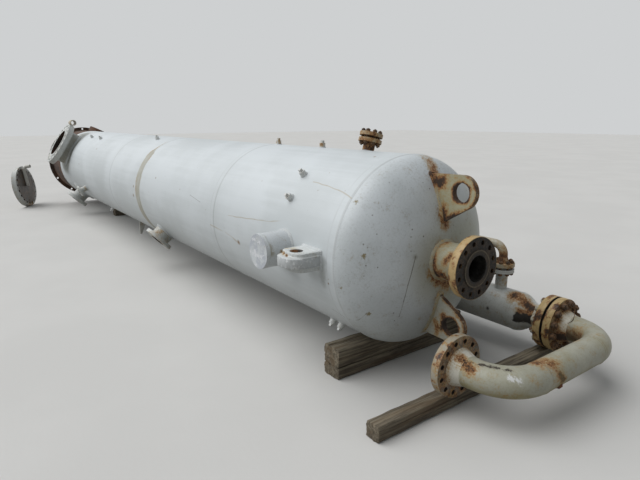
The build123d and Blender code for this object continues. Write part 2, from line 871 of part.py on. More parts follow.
head_timbers = timber_stack(seam - head_timber_below_seam, head_timber_near_end)
foot_timbers = timber_stack(bottom_seam + foot_timber_above_bottom_seam, foot_timber_near_end)
bend_timber_top = exchanger_z - line_flange_diameter / 2 - weld_gap
bend_timber = timber(
    gasket_thickness - bend_timber_front_gap - bend_timber_width / 2,
    bend_timber_near_end, bend_timber_length, bend_timber_width,
    bend_timber_top, bend_timber_top + ground_depth)

pieces = {
    "shell_course_top": shell_course_top,
    "shell_course_second": shell_course_second,
    "shell_course_third": shell_course_third,
    "shell_course_bottom": shell_course_bottom,
    "top_head": top_head,
    "bottom_head": bottom_head,
    "skirt": skirt,
    "skirt_collar": skirt_collar,
    "base_ring": base_ring,
    "gas_outlet_nozzle": gas_outlet_nozzle,
    "gas_inlet_nozzle": gas_inlet_nozzle,
    "inlet_pad": inlet_pad,
    "middle_nozzle": middle_nozzle,
    "manway_nozzle": manway_nozzle,
    "davit_socket": davit_socket,
    "manway_cover": manway_cover,
    "davit_arm": davit_arm,
    "drain_nozzle": drain_nozzle,
    "vent_nozzle": vent_nozzle,
    "vent_blind": vent_blind,
    "support_clip": support_clip,
    "plugged_couplings": plugged_couplings,
    "upper_lifting_lug": upper_lifting_lug,
    "lower_lifting_lug": lower_lifting_lug,
    "side_lugs": side_lugs,
    "trunnions": trunnions,
    "exchanger_shell": exchanger_shell,
    "exchanger_reducers": exchanger_reducers,
    "exchanger_upper_flange": exchanger_upper_flange,
    "exchanger_lower_flange": exchanger_lower_flange,
    "exchanger_branches": exchanger_branches,
    "exchanger_brackets": exchanger_brackets,
    "glycol_line": glycol_line,
    "glycol_line_flange": glycol_line_flange,
    "bend_elbows": bend_elbows,
    "bend_crossover": bend_crossover,
    "bend_fixed_flange": bend_fixed_flange,
    "bend_open_flange": bend_open_flange,
    "gaskets": gaskets,
    "head_timbers": head_timbers,
    "foot_timbers": foot_timbers,
    "bend_timber": bend_timber,
}

os.makedirs("parts", exist_ok=True)
for name, piece in pieces.items():
    piece.part.label = name
    export_step(piece.part, f"parts/{name}.step")
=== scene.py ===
# %% [markdown]
# # A glycol contactor tower lying on its timbers
#
# The tower is a welded steel vessel: four rolled courses, two dished heads, a skirt at the foot,
# forged nozzles, lifting lugs, and a small heat exchanger strapped along its side. It was painted
# off-white once, and now rust comes through wherever water stood or steel was knocked.
#
# The solid parts come from the CAD frame. This lesson adds what a welder, a fitter and the weather
# added: the beads, the studs and nuts, the split timbers, and the look of every surface.

# %% Load the frame and keep its size
import math

import bpy
import numpy as np
from mathutils import Matrix, Vector


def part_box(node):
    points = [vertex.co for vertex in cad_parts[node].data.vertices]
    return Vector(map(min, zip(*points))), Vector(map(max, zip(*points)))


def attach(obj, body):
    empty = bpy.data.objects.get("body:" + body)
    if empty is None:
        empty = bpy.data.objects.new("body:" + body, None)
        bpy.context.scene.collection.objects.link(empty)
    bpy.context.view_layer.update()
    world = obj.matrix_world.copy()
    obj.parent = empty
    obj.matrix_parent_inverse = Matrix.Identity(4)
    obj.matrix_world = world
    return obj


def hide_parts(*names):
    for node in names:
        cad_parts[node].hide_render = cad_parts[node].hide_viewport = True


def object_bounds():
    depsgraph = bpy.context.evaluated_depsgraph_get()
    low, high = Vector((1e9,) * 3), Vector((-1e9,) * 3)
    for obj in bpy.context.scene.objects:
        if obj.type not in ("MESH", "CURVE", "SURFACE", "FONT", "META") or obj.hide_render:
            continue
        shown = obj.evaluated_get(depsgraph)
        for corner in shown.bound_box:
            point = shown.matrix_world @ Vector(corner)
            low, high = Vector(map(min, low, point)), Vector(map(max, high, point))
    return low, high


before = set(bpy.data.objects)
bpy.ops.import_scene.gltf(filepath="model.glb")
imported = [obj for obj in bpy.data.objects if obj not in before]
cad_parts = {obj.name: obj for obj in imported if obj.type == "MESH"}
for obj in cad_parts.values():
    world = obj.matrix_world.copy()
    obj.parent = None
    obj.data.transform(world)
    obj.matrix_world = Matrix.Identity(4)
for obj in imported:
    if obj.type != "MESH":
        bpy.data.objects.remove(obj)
loaded_low, loaded_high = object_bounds()
print("nodes:", len(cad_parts))
print("frame from", [round(v, 3) for v in loaded_low], "to", [round(v, 3) for v in loaded_high])

# %% [markdown]
# ## Measures that everything else is built from
#
# Every seam of the real shell is where two plates meet, so the seams are read from the plates'
# own boxes instead of being written a second time. Clock angles run round the tower's axis:
# 0 is the far side, 90 is up and 180 is the near side. "Below" is the distance from the seam of
# the top head towards the foot, as a fitter would tape it along the shell.

# %% Read the seams and the radius
top_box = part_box("shell_course_top")
seam = top_box[1].x
shell_radius = top_box[1].z
head_depth = shell_radius / 2
course_names = tuple(
    "shell_course_" + which for which in ("top", "second", "third", "bottom"))
girth_seams = [seam] + [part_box(name)[0].x for name in course_names]
ground = loaded_low.z
print("seam", round(seam, 4), "radius", round(shell_radius, 4), "ground", round(ground, 3))
print("girth seams", [round(x, 3) for x in girth_seams])


# %% Places on the shell and on the top head
def shell_way(clock):
    """Way straight out of the shell at a clock angle in degrees."""
    turn = math.radians(clock)
    return (0.0, math.cos(turn), math.sin(turn))


def on_shell(clock, below, radius=shell_radius):
    """Point on the shell at a clock angle and a distance below the top seam."""
    _, across, up = shell_way(clock)
    return (seam - below, radius * across, radius * up)


def on_head(across, up):
    """Point on the top head whose y and z are given: x follows the half ellipse."""
    spread = (across**2 + up**2) / shell_radius**2
    return (seam + head_depth * math.sqrt(max(0.0, 1 - spread)), across, up)


print("crown of the top head at x =", round(on_head(0, 0)[0], 4))

# %% [markdown]
# ## Camera
#
# The picture was taken at eye level, a little over a metre and a half above the floor, from beyond
# the top end and off to the near side. A camera could be aimed at a point, but a small slip of that
# point would turn it. This one is set by where it stands and by its three directions.

# %% Stand the camera at eye level
camera_place = (1.6569, -2.2735, 0.7927)
camera_right = Vector((0.5886, 0.8085, 0.0)).normalized()
camera_up = Vector((-0.1851, 0.1348, 0.9735))
camera_up = (camera_up - camera_right * camera_up.dot(camera_right)).normalized()
camera_back = camera_right.cross(camera_up)

lens = bpy.data.cameras.new("camera")
lens.lens = 28.66
lens.sensor_width = 36
lens.clip_start = 0.05
lens.clip_end = 200
camera = bpy.data.objects.new("camera", lens)
turn = Matrix((camera_right, camera_up, camera_back)).transposed()
camera.matrix_world = Matrix.Translation(camera_place) @ turn.to_4x4()
bpy.context.scene.collection.objects.link(camera)
bpy.context.scene.camera = camera
print("camera", round(camera_place[2] - ground, 2), "m above the ground")

# %% [markdown]
# ## Shader values that read like arithmetic
#
# A surface such as weathered paint is a sum of masks: how near a weld, how far down a side, how
# cloudy the noise. A node tree hides that sum in boxes and wires. This class wraps one socket, so
# the sum can be written as it is thought.


# %% One socket as a value
class Value:
    """A shader socket that is added, scaled and mixed like a number."""

    def __init__(self, tree, socket):
        self.tree = tree
        self.socket = socket

    def node(self, kind, settings, inputs, output=0):
        """Adds a node: its settings first, then its sockets, each a constant or another Value."""
        made = self.tree.nodes.new(kind)
        for name, setting in settings.items():
            setattr(made, name, setting)
        for key, given in inputs.items():
            if isinstance(given, Value):
                self.tree.links.new(given.socket, made.inputs[key])
            else:
                made.inputs[key].default_value = given
        return Value(self.tree, made.outputs[output])

    def maths(self, operation, *values):
        return self.node("ShaderNodeMath", {"operation": operation}, dict(enumerate(values)))

    def __add__(self, other):
        return self.maths("ADD", self, other)

    def __radd__(self, other):
        return self.maths("ADD", other, self)

    def __sub__(self, other):
        return self.maths("SUBTRACT", self, other)

    def __rsub__(self, other):
        return self.maths("SUBTRACT", other, self)

    def __mul__(self, other):
        return self.maths("MULTIPLY", self, other)

    def __rmul__(self, other):
        return self.maths("MULTIPLY", other, self)

    def size(self):
        return self.maths("ABSOLUTE", self)

    def larger(self, other):
        return self.maths("MAXIMUM", self, other)

    def smaller(self, other):
        return self.maths("MINIMUM", self, other)

    def rise(self, low, high):
        """Smooth step: 0 at low, 1 at high; high may be the smaller of the two."""
        return self.node(
            "ShaderNodeMapRange", {"interpolation_type": "SMOOTHSTEP"},
            {"Value": self, "From Min": low, "From Max": high})

    def between(self, first, second):
        """Colour that is the first where this mask is 0 and the second where it is 1."""
        return self.node(
            "ShaderNodeMix", {"data_type": "RGBA"}, {0: self, 6: first, 7: second}, output=2)

    def part(self, axis):
        return self.node("ShaderNodeSeparateXYZ", {}, {0: self}, output="XYZ".index(axis))

    def vector(self, operation, other, output=0):
        return self.node(
            "ShaderNodeVectorMath", {"operation": operation}, {0: self, 1: other}, output)

    def noise(self, scale, detail=4.0, rough=0.55, stretch=(1.0, 1.0, 1.0)):
        """Cloudy noise round a half; a stretch above 1 packs it closer along that axis."""
        place = self.vector("MULTIPLY", stretch)
        return place.node(
            "ShaderNodeTexNoise", {},
            {"Vector": place, "Scale": scale, "Detail": detail, "Roughness": rough})

    def specks(self, scale, reach):
        """Small round dots, one to a cell: 1 in the middle of a dot and 0 past its reach."""
        cells = self.node("ShaderNodeTexVoronoi", {}, {"Vector": self, "Scale": scale})
        return cells.rise(reach, reach * 0.4)

    def from_point(self, point):
        return self.vector("DISTANCE", point, output=1)

    def from_line(self, start, end):
        """Distance from the straight line between two points."""
        way = np.subtract(end, start)
        offset = self.vector("SUBTRACT", start)
        share = offset.vector("DOT_PRODUCT", tuple(way / way.dot(way)), output=1)
        share = share.larger(0.0).smaller(1.0)
        foot = share.node(
            "ShaderNodeVectorMath", {"operation": "SCALE"}, {0: tuple(way), "Scale": share})
        return offset.vector("DISTANCE", foot, output=1)

    def from_axis(self, point, direction):
        """Distance from the endless line through a point along a unit direction."""
        offset = self.vector("SUBTRACT", point)
        across = offset.vector("CROSS_PRODUCT", tuple(direction))
        return across.node("ShaderNodeVectorMath", {"operation": "LENGTH"}, {0: across}, output=1)


print("a value knows", [name for name in vars(Value) if not name.startswith("_")])


# %% Screen colours, and a material from a look
def srgb(red, green, blue):
    """Colour for a socket from the 0 to 255 numbers of a screen colour."""
    parts = np.array([red, green, blue]) / 255
    linear = np.where(parts <= 0.04045, parts / 12.92, ((parts + 0.055) / 1.055) ** 2.4)
    return (*linear.tolist(), 1.0)


def dress(name, look, depth):
    """New material from a look, which turns the place into colour, roughness and height."""
    made = bpy.data.materials.new(name)
    made.use_nodes = True
    tree = made.node_tree
    surface = tree.nodes["Principled BSDF"]
    where = Value(tree, tree.nodes.new("ShaderNodeTexCoord").outputs["Object"])
    colour, roughness, height = look(where)
    tree.links.new(colour.socket, surface.inputs["Base Color"])
    tree.links.new(roughness.socket, surface.inputs["Roughness"])
    bump = where.node("ShaderNodeBump", {}, {"Height": height, "Distance": depth})
    tree.links.new(bump.socket, surface.inputs["Normal"])
    return made


print("white is", [round(v, 3) for v in srgb(213, 219, 222)], "on a socket")

# %% [markdown]
# ## Floor, backdrop and light
#
# An overcast sky lights a vessel from all round, and only a little comes back from below, so its
# underside is dark. A pale floor would throw too much light up. Here the floor is pale where it is
# seen, and darker to the light that bounces off it. A pale world gives the sky, and one very soft
# sun high on the near side, towards the foot, lights the flank and leaves the face of the top head
# a shade darker.

# %% Pale floor
def nearest(values):
    """The largest of several masks."""
    top = values[0]
    for value in values[1:]:
        top = top.larger(value)
    return top


def shown(value):
    """Mask of the rays that show a surface, straight, in gloss or in glass, and light nothing."""
    return nearest([
        value.node("ShaderNodeLightPath", {}, {}, output=ray)
        for ray in ("Is Camera Ray", "Is Glossy Ray", "Is Transmission Ray")])


floor_half = 60.0
floor_drop = 0.0005
floor_bounce = srgb(150, 148, 143)


def floor_look(where):
    cloud = where.noise(0.8, 3)
    fine = where.noise(40, 2)
    tint = cloud.rise(0.35, 0.65).between(srgb(210, 209, 206), srgb(214, 213, 210))
    return shown(where).between(floor_bounce, tint), 0.85 + fine * 0.1, fine


corners = np.array([[-1, -1], [1, -1], [1, 1], [-1, 1]]) * floor_half
floor_mesh = bpy.data.meshes.new("floor")
floor_mesh.from_pydata(
    [(x, y, ground - floor_drop) for x, y in corners.tolist()], [], [(0, 1, 2, 3)])
floor_mesh.materials.append(dress("floor", floor_look, 0.0005))
floor = bpy.data.objects.new("floor", floor_mesh)
bpy.context.scene.collection.objects.link(floor)
print("floor", 2 * floor_half, "m wide at height", round(ground - floor_drop, 4))

# %% Sky and lamps
world = bpy.data.worlds.new("sky")
bpy.context.scene.world = world
world.use_nodes = True
sky_tree = world.node_tree
background = sky_tree.nodes["Background"]
sky_light = (0.27, 0.28, 0.29, 1.0)
sky_seen = srgb(206, 208, 209)
sky_colour = shown(Value(sky_tree, None)).between(sky_light, sky_seen)
sky_tree.links.new(sky_colour.socket, background.inputs["Color"])
background.inputs["Strength"].default_value = 1.0


def soft_sun(name, comes_from, spread, strength):
    """Sun lamp whose light comes from a direction, as wide as its spread in degrees."""
    light = bpy.data.lights.new(name, "SUN")
    light.energy = strength
    light.angle = math.radians(spread)
    lamp = bpy.data.objects.new(name, light)
    lamp.matrix_world = Vector(comes_from).to_track_quat("Z", "Y").to_matrix().to_4x4()
    bpy.context.scene.collection.objects.link(lamp)


soft_sun("high_sun", (-0.50, -0.60, 0.95), 70, 2.35)
print("light set")

# %% [markdown]
# ## Weathered paint
#
# Rust does not cover a part evenly. It starts where paint is thin or water stands: at a weld root,
# round a hole, on a rim. So each surface has a nearness, which is high close to such a place, and a
# noise that breaks it up. Where their sum passes a first limit the paint is stained, past the next
# it is gone and brown scale shows, and past the last the scale is black. Rust painted by hand would
# fit one view. Worked out from places, it is right from every side.

# %% Colours of paint and rust
shell_white = srgb(213, 219, 222)
shell_grey = srgb(200, 206, 208)
cream = srgb(206, 203, 190)
stain = srgb(172, 144, 92)
orange = srgb(146, 97, 52)
brown = srgb(84, 56, 38)
black = srgb(38, 31, 25)
grime_and_shade = srgb(112, 108, 92)
print("palest and darkest", [[round(v, 2) for v in tint[:3]] for tint in (shell_white, black)])


# %% Paint with rust coming through
def weathered(where, base, nearness, cover=0.0, scale=11.0):
    """Colour, roughness and height of paint that rusts where nearness (0 to 1) is high."""
    cloud = where.noise(scale, 6, 0.62)
    fine = where.noise(scale * 6, 5, 0.7)
    broad = where.noise(scale * 0.4, 3)
    need = cloud * 0.58 + fine * 0.42 + nearness * 0.27 + cover
    dirty = need.rise(0.40, 0.60) * 0.18 + fine.rise(0.45, 0.70) * 0.10
    speckle = where.noise(scale * 14, 3, 0.8)
    ragged = need + (fine - 0.5) * 0.10 + (speckle - 0.5) * 0.16
    halo = need.rise(0.49, 0.67) * (0.30 + broad * 0.9)
    film = ragged.rise(0.58, 0.70) * 0.55
    bare = ragged.rise(0.65, 0.73)
    deep = (ragged + (broad - 0.5) * 0.22).rise(0.74, 0.83)
    colour = dirty.between(base, grime_and_shade)
    colour = halo.between(colour, stain)
    colour = film.between(colour, orange)
    colour = (bare * 0.92).between(colour, ragged.rise(0.68, 0.79).between(orange, brown))
    colour = (deep * 0.8).between(colour, black)
    roughness = 0.44 + halo * 0.2 + bare * 0.25
    height = fine * 0.35 + bare * (fine - 1.2)
    return colour, roughness, height


def close_to(distance, reach):
    """Nearness: 1 at no distance, falling smoothly to 0 at the reach."""
    return distance.rise(reach, 0.0)


# %% Helpers for marks
def rusty(where, places):
    """Nearness to the nearest of several places, each (start, end, reach, strength)."""
    return nearest([
        close_to(where.from_line(start, end), reach) * strength
        for start, end, reach, strength in places])


def layered(colour, *coats):
    """A colour with coats laid over it in turn, each a mask and a screen colour."""
    for mask, tint in coats:
        colour = mask.between(colour, srgb(*tint))
    return colour


def lines(place, *points):
    """Lines from point to point on a surface; each start also gives its line's half width."""
    return [
        (place(*start[:2]), place(*end[:2]), start[2])
        for start, end in zip(points, points[1:])]


print("weathering ready")

# %% [markdown]
# ### The shell's paint
#
# The shell is the cleanest part. Its girth seams show as thin grey lines, each with a fainter line
# of painted shadow beside it. A buff band of old tape or clay crosses one seam, a few thin brown
# runs start at pinholes, and rain has drawn faint streaks along the vessel from the time it stood
# upright.
# Its lower side is darkened with painted shade, and round the manway's foot painted shadow is mixed
# with dirt. A painted image would need a flat map of the whole tower, so each mark is a distance
# from a point or a line on the shell, and stays sharp from close by.

# %% Marks on the shell
band_middle = 3.575
runs = [
    *lines(on_shell, (172.2, 1.330, 0.007), (168.6, 0.915, 0.006), (165.2, 0.579)),
    *lines(on_shell, (183.7, 1.647, 0.009), (186.0, 1.385, 0.013), (189.3, 1.167)),
    *lines(
        on_shell, (135.7, 0.430, 0.007), (137.2, 0.281, 0.006), (138.1, 0.143, 0.007),
        (141.0, -0.010)),
]
scratches = [
    *lines(on_shell, (213.0, 0.131, 0.004), (215.9, 0.026)),
    *lines(on_shell, (165.2, 2.1, 0.004), (168.5, 1.86)),
]
rust_dots = (  # clock, below and radius
    (158.8, 3.046, 0.016), (174.0, 3.729, 0.024), (184.0, 3.752, 0.028), (189.3, 1.167, 0.030),
    (104.5, 0.166, 0.014), (192.4, 0.060, 0.010), (163.0, 2.350, 0.008), (140.0, 5.900, 0.020),
    (168.0, 6.600, 0.018),
)
shell_nozzles = {  # clock, below, radius of the foot and leg of its fillet
    "manway": (148, 7.691, 0.273, 0.022),
    "inlet": (225, 7.318, 0.190, 0.014),
    "middle": (222, 3.210, 0.103, 0.014),
    "drain": (204, 6.419, 0.042, 0.009),
    "vent": (75, 0.576, 0.042, 0.009),
}
manway_foot = on_shell(*shell_nozzles["manway"][:2])
tower_axis = ((0.0, 0.0, 0.0), (1.0, 0.0, 0.0))
seam_grey = (120, 118, 108)
print("shell marks:", len(runs), "lines of the runs,", len(rust_dots), "dots")


# %% The shell's look
def shell_look(where):
    below = seam - where.part("X")
    height = where.part("Z")
    near_turn = where.maths("ARCTAN2", height, where.part("Y") * -1.0)
    cloud = where.noise(1.3, 5)
    fine = where.noise(45, 4, 0.65)
    streak = where.noise(2.0, 4, 0.6, stretch=(0.35, 9.0, 9.0))
    patchy = where.noise(7, 4, 0.6)
    tone = (cloud * 0.75 + streak * 0.25).rise(0.38, 0.60)
    # Painted shade: the lower side of the shell is darker.
    low_side_shade = height.rise(-0.15, -0.58) * (0.35 + cloud * 0.5)

    # The buff band is wide high on the near side and thins to a line below.
    wander = below + (where.noise(3.0, 4) - 0.5) * 0.05
    width = 0.012 + near_turn.rise(0.98, 0.80) * 0.062
    offset = (wander - band_middle).size()
    reach = near_turn.rise(1.25, 1.05) * near_turn.rise(-1.35, -1.15)
    band = (width - offset).rise(-0.006, 0.010) * reach
    edge = (offset - width).size().rise(0.016, 0.004) * reach * fine.rise(0.35, 0.55)
    colour = layered(
        tone.between(shell_grey, shell_white),
        (low_side_shade * 0.55, (168, 172, 168)),
        (band * (0.30 + patchy * 0.9), (166, 161, 142)),
        (edge * near_turn.rise(-0.6, 0.5) * patchy.rise(0.42, 0.60), (164, 128, 80)))

    for x in girth_seams:
        line = (below - (seam - x)).size().rise(0.016, 0.004)
        # A fainter line 62 mm off each seam is painted shadow.
        shadow = (below - (seam - x + 0.062)).size().rise(0.010, 0.002)
        mark = line * 0.20 + shadow * 0.12 * streak.rise(0.35, 0.6)
        colour = layered(colour, (mark, seam_grey))

    # Dirt round the foot of every nozzle; round the manway it also stands for painted shadow.
    near_nozzles = nearest([
        close_to(where.from_point(on_shell(clock, below_seam)), foot + 0.10)
        for clock, below_seam, foot, _ in shell_nozzles.values()])
    dirt_and_shade = (near_nozzles * 0.8 + cloud * 0.7).rise(0.66, 0.94)
    colour = (dirt_and_shade * 0.7).between(colour, grime_and_shade)
    # Round the manway's foot the shell is darker: painted shadow of the manway, mixed with dirt.
    manway_shade_and_dirt = where.from_point(manway_foot) + (cloud - 0.5) * 0.12
    lug_root = where.from_line(on_shell(180, 0.092), on_shell(194, 0.112)) + (fine - 0.5) * 0.05
    scuffs = close_to(where.from_point(on_shell(196, 0.235)), 0.16)
    scuffs = scuffs * where.noise(26, 5, 0.7).rise(0.60, 0.66)
    colour = layered(
        colour,
        (manway_shade_and_dirt.rise(0.50, 0.38) * 0.8, (120, 122, 110)),
        (close_to(lug_root, 0.045) * 0.4, (118, 120, 110)),
        (scuffs * 0.6, (228, 230, 232)))

    bent = where.vector("ADD", (where.noise(3, 2) - 0.5) * 0.05)
    for start, end, thick in runs:
        line = close_to(bent.from_line(start, end), thick) * fine.rise(0.16, 0.44)
        colour = layered(colour, (line * 0.55, (164, 146, 112)))
    for start, end, thick in scratches:
        line = close_to(where.from_line(start, end), thick)
        colour = layered(colour, (line * 0.6, (110, 106, 98)))
    for clock, below_seam, radius in rust_dots:
        ragged = where.from_point(on_shell(clock, below_seam)) + (fine - 0.5) * radius * 0.8
        colour = layered(colour, (close_to(ragged, radius), (128, 98, 62)))

    pits = where.specks(16, 0.10) * where.noise(5, 3).rise(0.52, 0.62)
    colour = layered(colour, (pits * 0.6, (132, 112, 84)))
    inside = where.from_axis(*tower_axis).rise(shell_radius - 0.020, shell_radius - 0.024)
    colour = inside.between(colour, fine.rise(0.35, 0.65).between(black, brown))
    roughness = 0.40 + cloud * 0.15 + band * 0.2 + inside * 0.3
    return colour, roughness, cloud * 0.4 + fine * 0.15


shell_paint = dress("shell_paint", shell_look, 0.0016)
print("shell paint:", len(shell_paint.node_tree.nodes), "nodes")

# %% [markdown]
# ### The heads' paint
#
# The top head faced the sky while the tower stood, so it is speckled all over. Rust water ran from
# the upper lug across the knuckle, the lug roots bled, and the gas outlet's neck rusted at its
# root;
# under the neck that rust is heavier and is also painted shadow. The lower side is darkened with
# painted shade. A long dark scrape curves down its near side. The bleeds go through the same
# weathering as every other rust, so that they fray as it does, and the scrape lies over them.

# %% Marks on the top head
scrapes = [
    *lines(
        on_head, (-0.223, 0.048, 0.0055), (-0.241, -0.025, 0.005), (-0.260, -0.113, 0.0045),
        (-0.269, -0.205, 0.004), (-0.271, -0.318)),
    *lines(on_head, (-0.480, -0.349, 0.004), (-0.465, -0.334, 0.004), (-0.451, -0.276)),
]
bleeds = (
    (on_head(0.095, 0.586), on_head(0.050, 0.550), 0.10, 0.62),
    (on_head(0.050, 0.550), on_head(0.010, 0.480), 0.10, 1.0),
    (on_head(0.0, 0.500), on_head(0.0, 0.220), 0.070, 0.80),
    (on_head(-0.01, 0.285), on_head(0.02, 0.205), 0.085, 1.0),
    (on_head(0.0, -0.480), on_head(0.0, -0.210), 0.065, 0.85),
    (on_head(-0.05, -0.125), on_head(0.07, -0.178), 0.085, 1.05),
)
ochre_dots = (  # across, up and radius
    (-0.505, 0.072, 0.024), (-0.572, -0.126, 0.014), (-0.470, 0.352, 0.017),
    (-0.443, -0.277, 0.024),
)
print("head marks:", len(scrapes), "lines of the scrapes,", len(bleeds), "bleeds")


# %% The top head's look
def head_look(where):
    cloud = where.noise(2.2, 5)
    fine = where.noise(55, 5, 0.65)
    crown = where.from_axis(*tower_axis)
    far_side = where.part("Y").rise(-0.12, 0.42)
    height = where.part("Z")
    moss = (crown.rise(0.46, 0.12) * 0.45 + far_side * 0.42 + cloud * 0.5).rise(0.38, 0.86)
    # Painted shade: the lower side of the head is darker.
    low = height.rise(-0.20, -0.58) * (0.4 + cloud * 0.5)
    seam_line = (where.part("X") - seam).size().rise(0.010, 0.003)
    specks = where.specks(24, 0.15) * where.noise(7, 3).rise(0.47, 0.56) * crown.rise(0.58, 0.50)
    small_specks = where.specks(60, 0.16) * where.noise(12, 3).rise(0.50, 0.60)
    colour = layered(
        cloud.rise(0.35, 0.65).between(srgb(197, 203, 205), srgb(211, 217, 220)),
        (moss * 0.65, (142, 140, 104)),
        (low * 0.5, (150, 152, 136)),
        (seam_line * 0.25, seam_grey),
        (specks * 0.8, (80, 72, 60)),
        (small_specks * 0.55, (100, 94, 82)))

    # Rust round the outlet neck's root, heavier under the neck, where it is also painted shadow.
    neck_rust_and_shadow = close_to((crown - 0.12).size(), 0.075)
    neck_rust_and_shadow = neck_rust_and_shadow * (0.45 + height.rise(0.02, -0.10) * 0.5)
    nearness = rusty(where, bleeds).larger(neck_rust_and_shadow)
    colour, roughness, bumps = weathered(where, colour, nearness, cover=-0.085, scale=13)
    for start, end, thick in scrapes:
        ragged = where.from_line(start, end) + (fine - 0.5) * 0.003
        colour = layered(colour, (close_to(ragged, thick) * 0.85, (88, 80, 66)))
    for across, up, radius in ochre_dots:
        ragged = where.from_point(on_head(across, up)) + (fine - 0.48) * radius * 5.0
        colour = layered(colour, (close_to(ragged, radius) * 0.9, (126, 110, 62)))
    smudge = close_to(where.from_point(scrapes[0][0]) + (fine - 0.5) * 0.02, 0.024)
    return (smudge * 0.6).between(colour, grime_and_shade), roughness, bumps


head_paint = dress("head_paint", head_look, 0.0016)
print("head paint:", len(head_paint.node_tree.nodes), "nodes")

# %% [markdown]
# ### Line flanges
#
# A raised-face flange has three kinds of surface. The mating face was never painted and is nearly
# black, with a brighter ring where the gasket sat. The rim kept a worn yellow-cream coat, and the
# hub behind it is painted like the vessel and spotted with rust. Each kind could be a material on
# its own faces. One look, which tells them apart by how far back and how far out they lie, fits any
# flange however its faces are cut.

# %% A look for any flange that stands square to the tower's axis
flange_radius = 0.1778
flange_depth = 0.0542
seat_radius = 0.1080
bore_radius = 0.0775
print("flange", 2 * flange_radius, "m across and", flange_depth, "m deep")


def flange_look(mating, centre, facing, rim_tint, back_tint, rim_cover, neck_cover,
                places=(), neck_coat_and_shade=cream):
    """Look of a flange whose mating plane is at x = mating and faces the facing side (1 or -1)."""
    def look(where):
        back = (mating - where.part("X")) * float(facing)
        radius = where.from_axis((0.0, *centre), (1.0, 0.0, 0.0))
        fine = where.noise(70, 5, 0.7)
        cloud = where.noise(16, 5, 0.6)

        root = close_to((back - 0.225).size(), 0.07)
        hub_edge = close_to((back - flange_depth).size(), 0.045)
        nearness = root.larger(hub_edge) * 0.6
        if places:
            nearness = nearness.larger(rusty(where, places))
        neck, roughness, height = weathered(where, neck_coat_and_shade, nearness, neck_cover, scale=18)
        rim, _, _ = weathered(
            where, srgb(*rim_tint), cloud.rise(0.45, 0.62), rim_cover, scale=26)
        disc_back, _, _ = weathered(
            where, srgb(*back_tint), cloud.rise(0.35, 0.55), 0.02, scale=26)

        face = (fine * 0.55 + cloud * 0.45).rise(0.42, 0.66)
        flakes = where.noise(46, 5, 0.75).rise(0.62, 0.68) * radius.rise(0.120, 0.165)
        seat = radius.rise(seat_radius + 0.001, seat_radius - 0.001) * radius.rise(0.084, 0.087)
        ring = close_to((radius - seat_radius + 0.005).size(), 0.006) * fine.rise(0.25, 0.60)
        face = layered(
            face.between(srgb(14, 13, 12), srgb(80, 66, 52)),
            (flakes * 0.7, (146, 140, 126)),
            (seat * 0.6, (58, 50, 40)),
            (ring * 0.8, (116, 106, 88)))

        on_disc = back.rise(flange_depth + 0.001, flange_depth - 0.0005)
        on_rim = radius.rise(flange_radius - 0.0025, flange_radius - 0.0008)
        on_face = back.rise(0.0105, 0.0075)
        colour = on_disc.between(neck, disc_back)
        colour = (on_disc * on_rim).between(colour, rim)
        colour = (on_face * (1.0 - on_rim * 0.8)).between(colour, face)
        hole_wall = back.rise(0.011, 0.013) * back.rise(flange_depth - 0.002, flange_depth - 0.004)
        hole_wall = hole_wall * radius.rise(flange_radius - 0.003, flange_radius - 0.005)
        colour = layered(
            colour,
            (hole_wall * 0.9, (34, 29, 25)),
            (radius.rise(bore_radius + 0.001, bore_radius - 0.001), (26, 24, 20)))
        return colour, roughness.larger(on_face * 0.8), height + on_face * fine
    return look


# %% The gas outlet's flange and neck
# The gas outlet's neck takes a darker cream: painted shade on the neck.
gas_flange_paint = dress("gas_flange_paint", flange_look(
    0.0, (0.0, 0.0), 1, (190, 162, 112), (128, 100, 70), 0.01, 0.015, (
        ((-0.140, -0.108, 0.030), (-0.118, -0.095, 0.060), 0.050, 1.0),
        ((-0.085, -0.110, -0.03), (-0.060, -0.100, 0.06), 0.045, 1.0),
        ((-0.190, -0.10, -0.05), (-0.150, -0.09, -0.08), 0.060, 0.9),
        ((-0.235, -0.11, 0.04), (-0.215, -0.09, -0.08), 0.060, 1.15),
    ), srgb(168, 165, 142)), 0.0012)
print("flange paint:", len(gas_flange_paint.node_tree.nodes), "nodes")

# %% [markdown]
# ### Lifting lugs
#
# Each lug is a thick plate with an eye. The eye is where the shackle rubbed, so its edge is bare
# and black; rust hangs round it, along the outer rim and at the weld. Eye and rim are circles about
# one axis, so the look measures from that axis, and only the bleeds are placed one by one.

# %% A look for the two lugs
eye_radius = 0.0555
lug_radius = 0.097
lug_half_thickness = 0.016
print("lifting lug", 2 * lug_half_thickness, "m thick, eye", 2 * eye_radius, "m across")


def lug_look(eye, places, tint, cover, crust):
    """Look of a lug in the upright middle plane: eye is (x, z), places are lines that bleed.

    crust is one line along which the rust is thick and nearly black.
    """
    def look(where):
        eye_distance = where.from_axis((eye[0], 0.0, eye[1]), (0.0, 1.0, 0.0))
        fine = where.noise(60, 5, 0.7)
        round_eye = close_to((eye_distance - eye_radius).size(), 0.022)
        outer = close_to((eye_distance - lug_radius).size(), 0.015)
        outer = outer * where.part("X").rise(eye[0] - 0.02, eye[0] + 0.05) * 0.6
        nearness = nearest([round_eye, outer, rusty(where, places)])
        colour, roughness, height = weathered(where, srgb(*tint), nearness, cover, scale=17)
        inside_eye = eye_distance.rise(eye_radius + 0.003, eye_radius - 0.001)
        colour = (inside_eye * 0.9).between(colour, fine.rise(0.4, 0.6).between(black, brown))
        side = where.part("Y").size()
        edge = side.rise(lug_half_thickness - 0.003, lug_half_thickness - 0.0006)
        bare_edge = (1.0 - edge) * fine.rise(0.38, 0.55)
        crusted = close_to(where.from_line(*crust) + (fine - 0.5) * 0.02, 0.034).rise(0.15, 0.6)
        colour = layered(
            colour, (bare_edge * 0.8, (70, 52, 38)), (crusted * 0.85, (44, 33, 25)))
        return colour, roughness, height
    return look


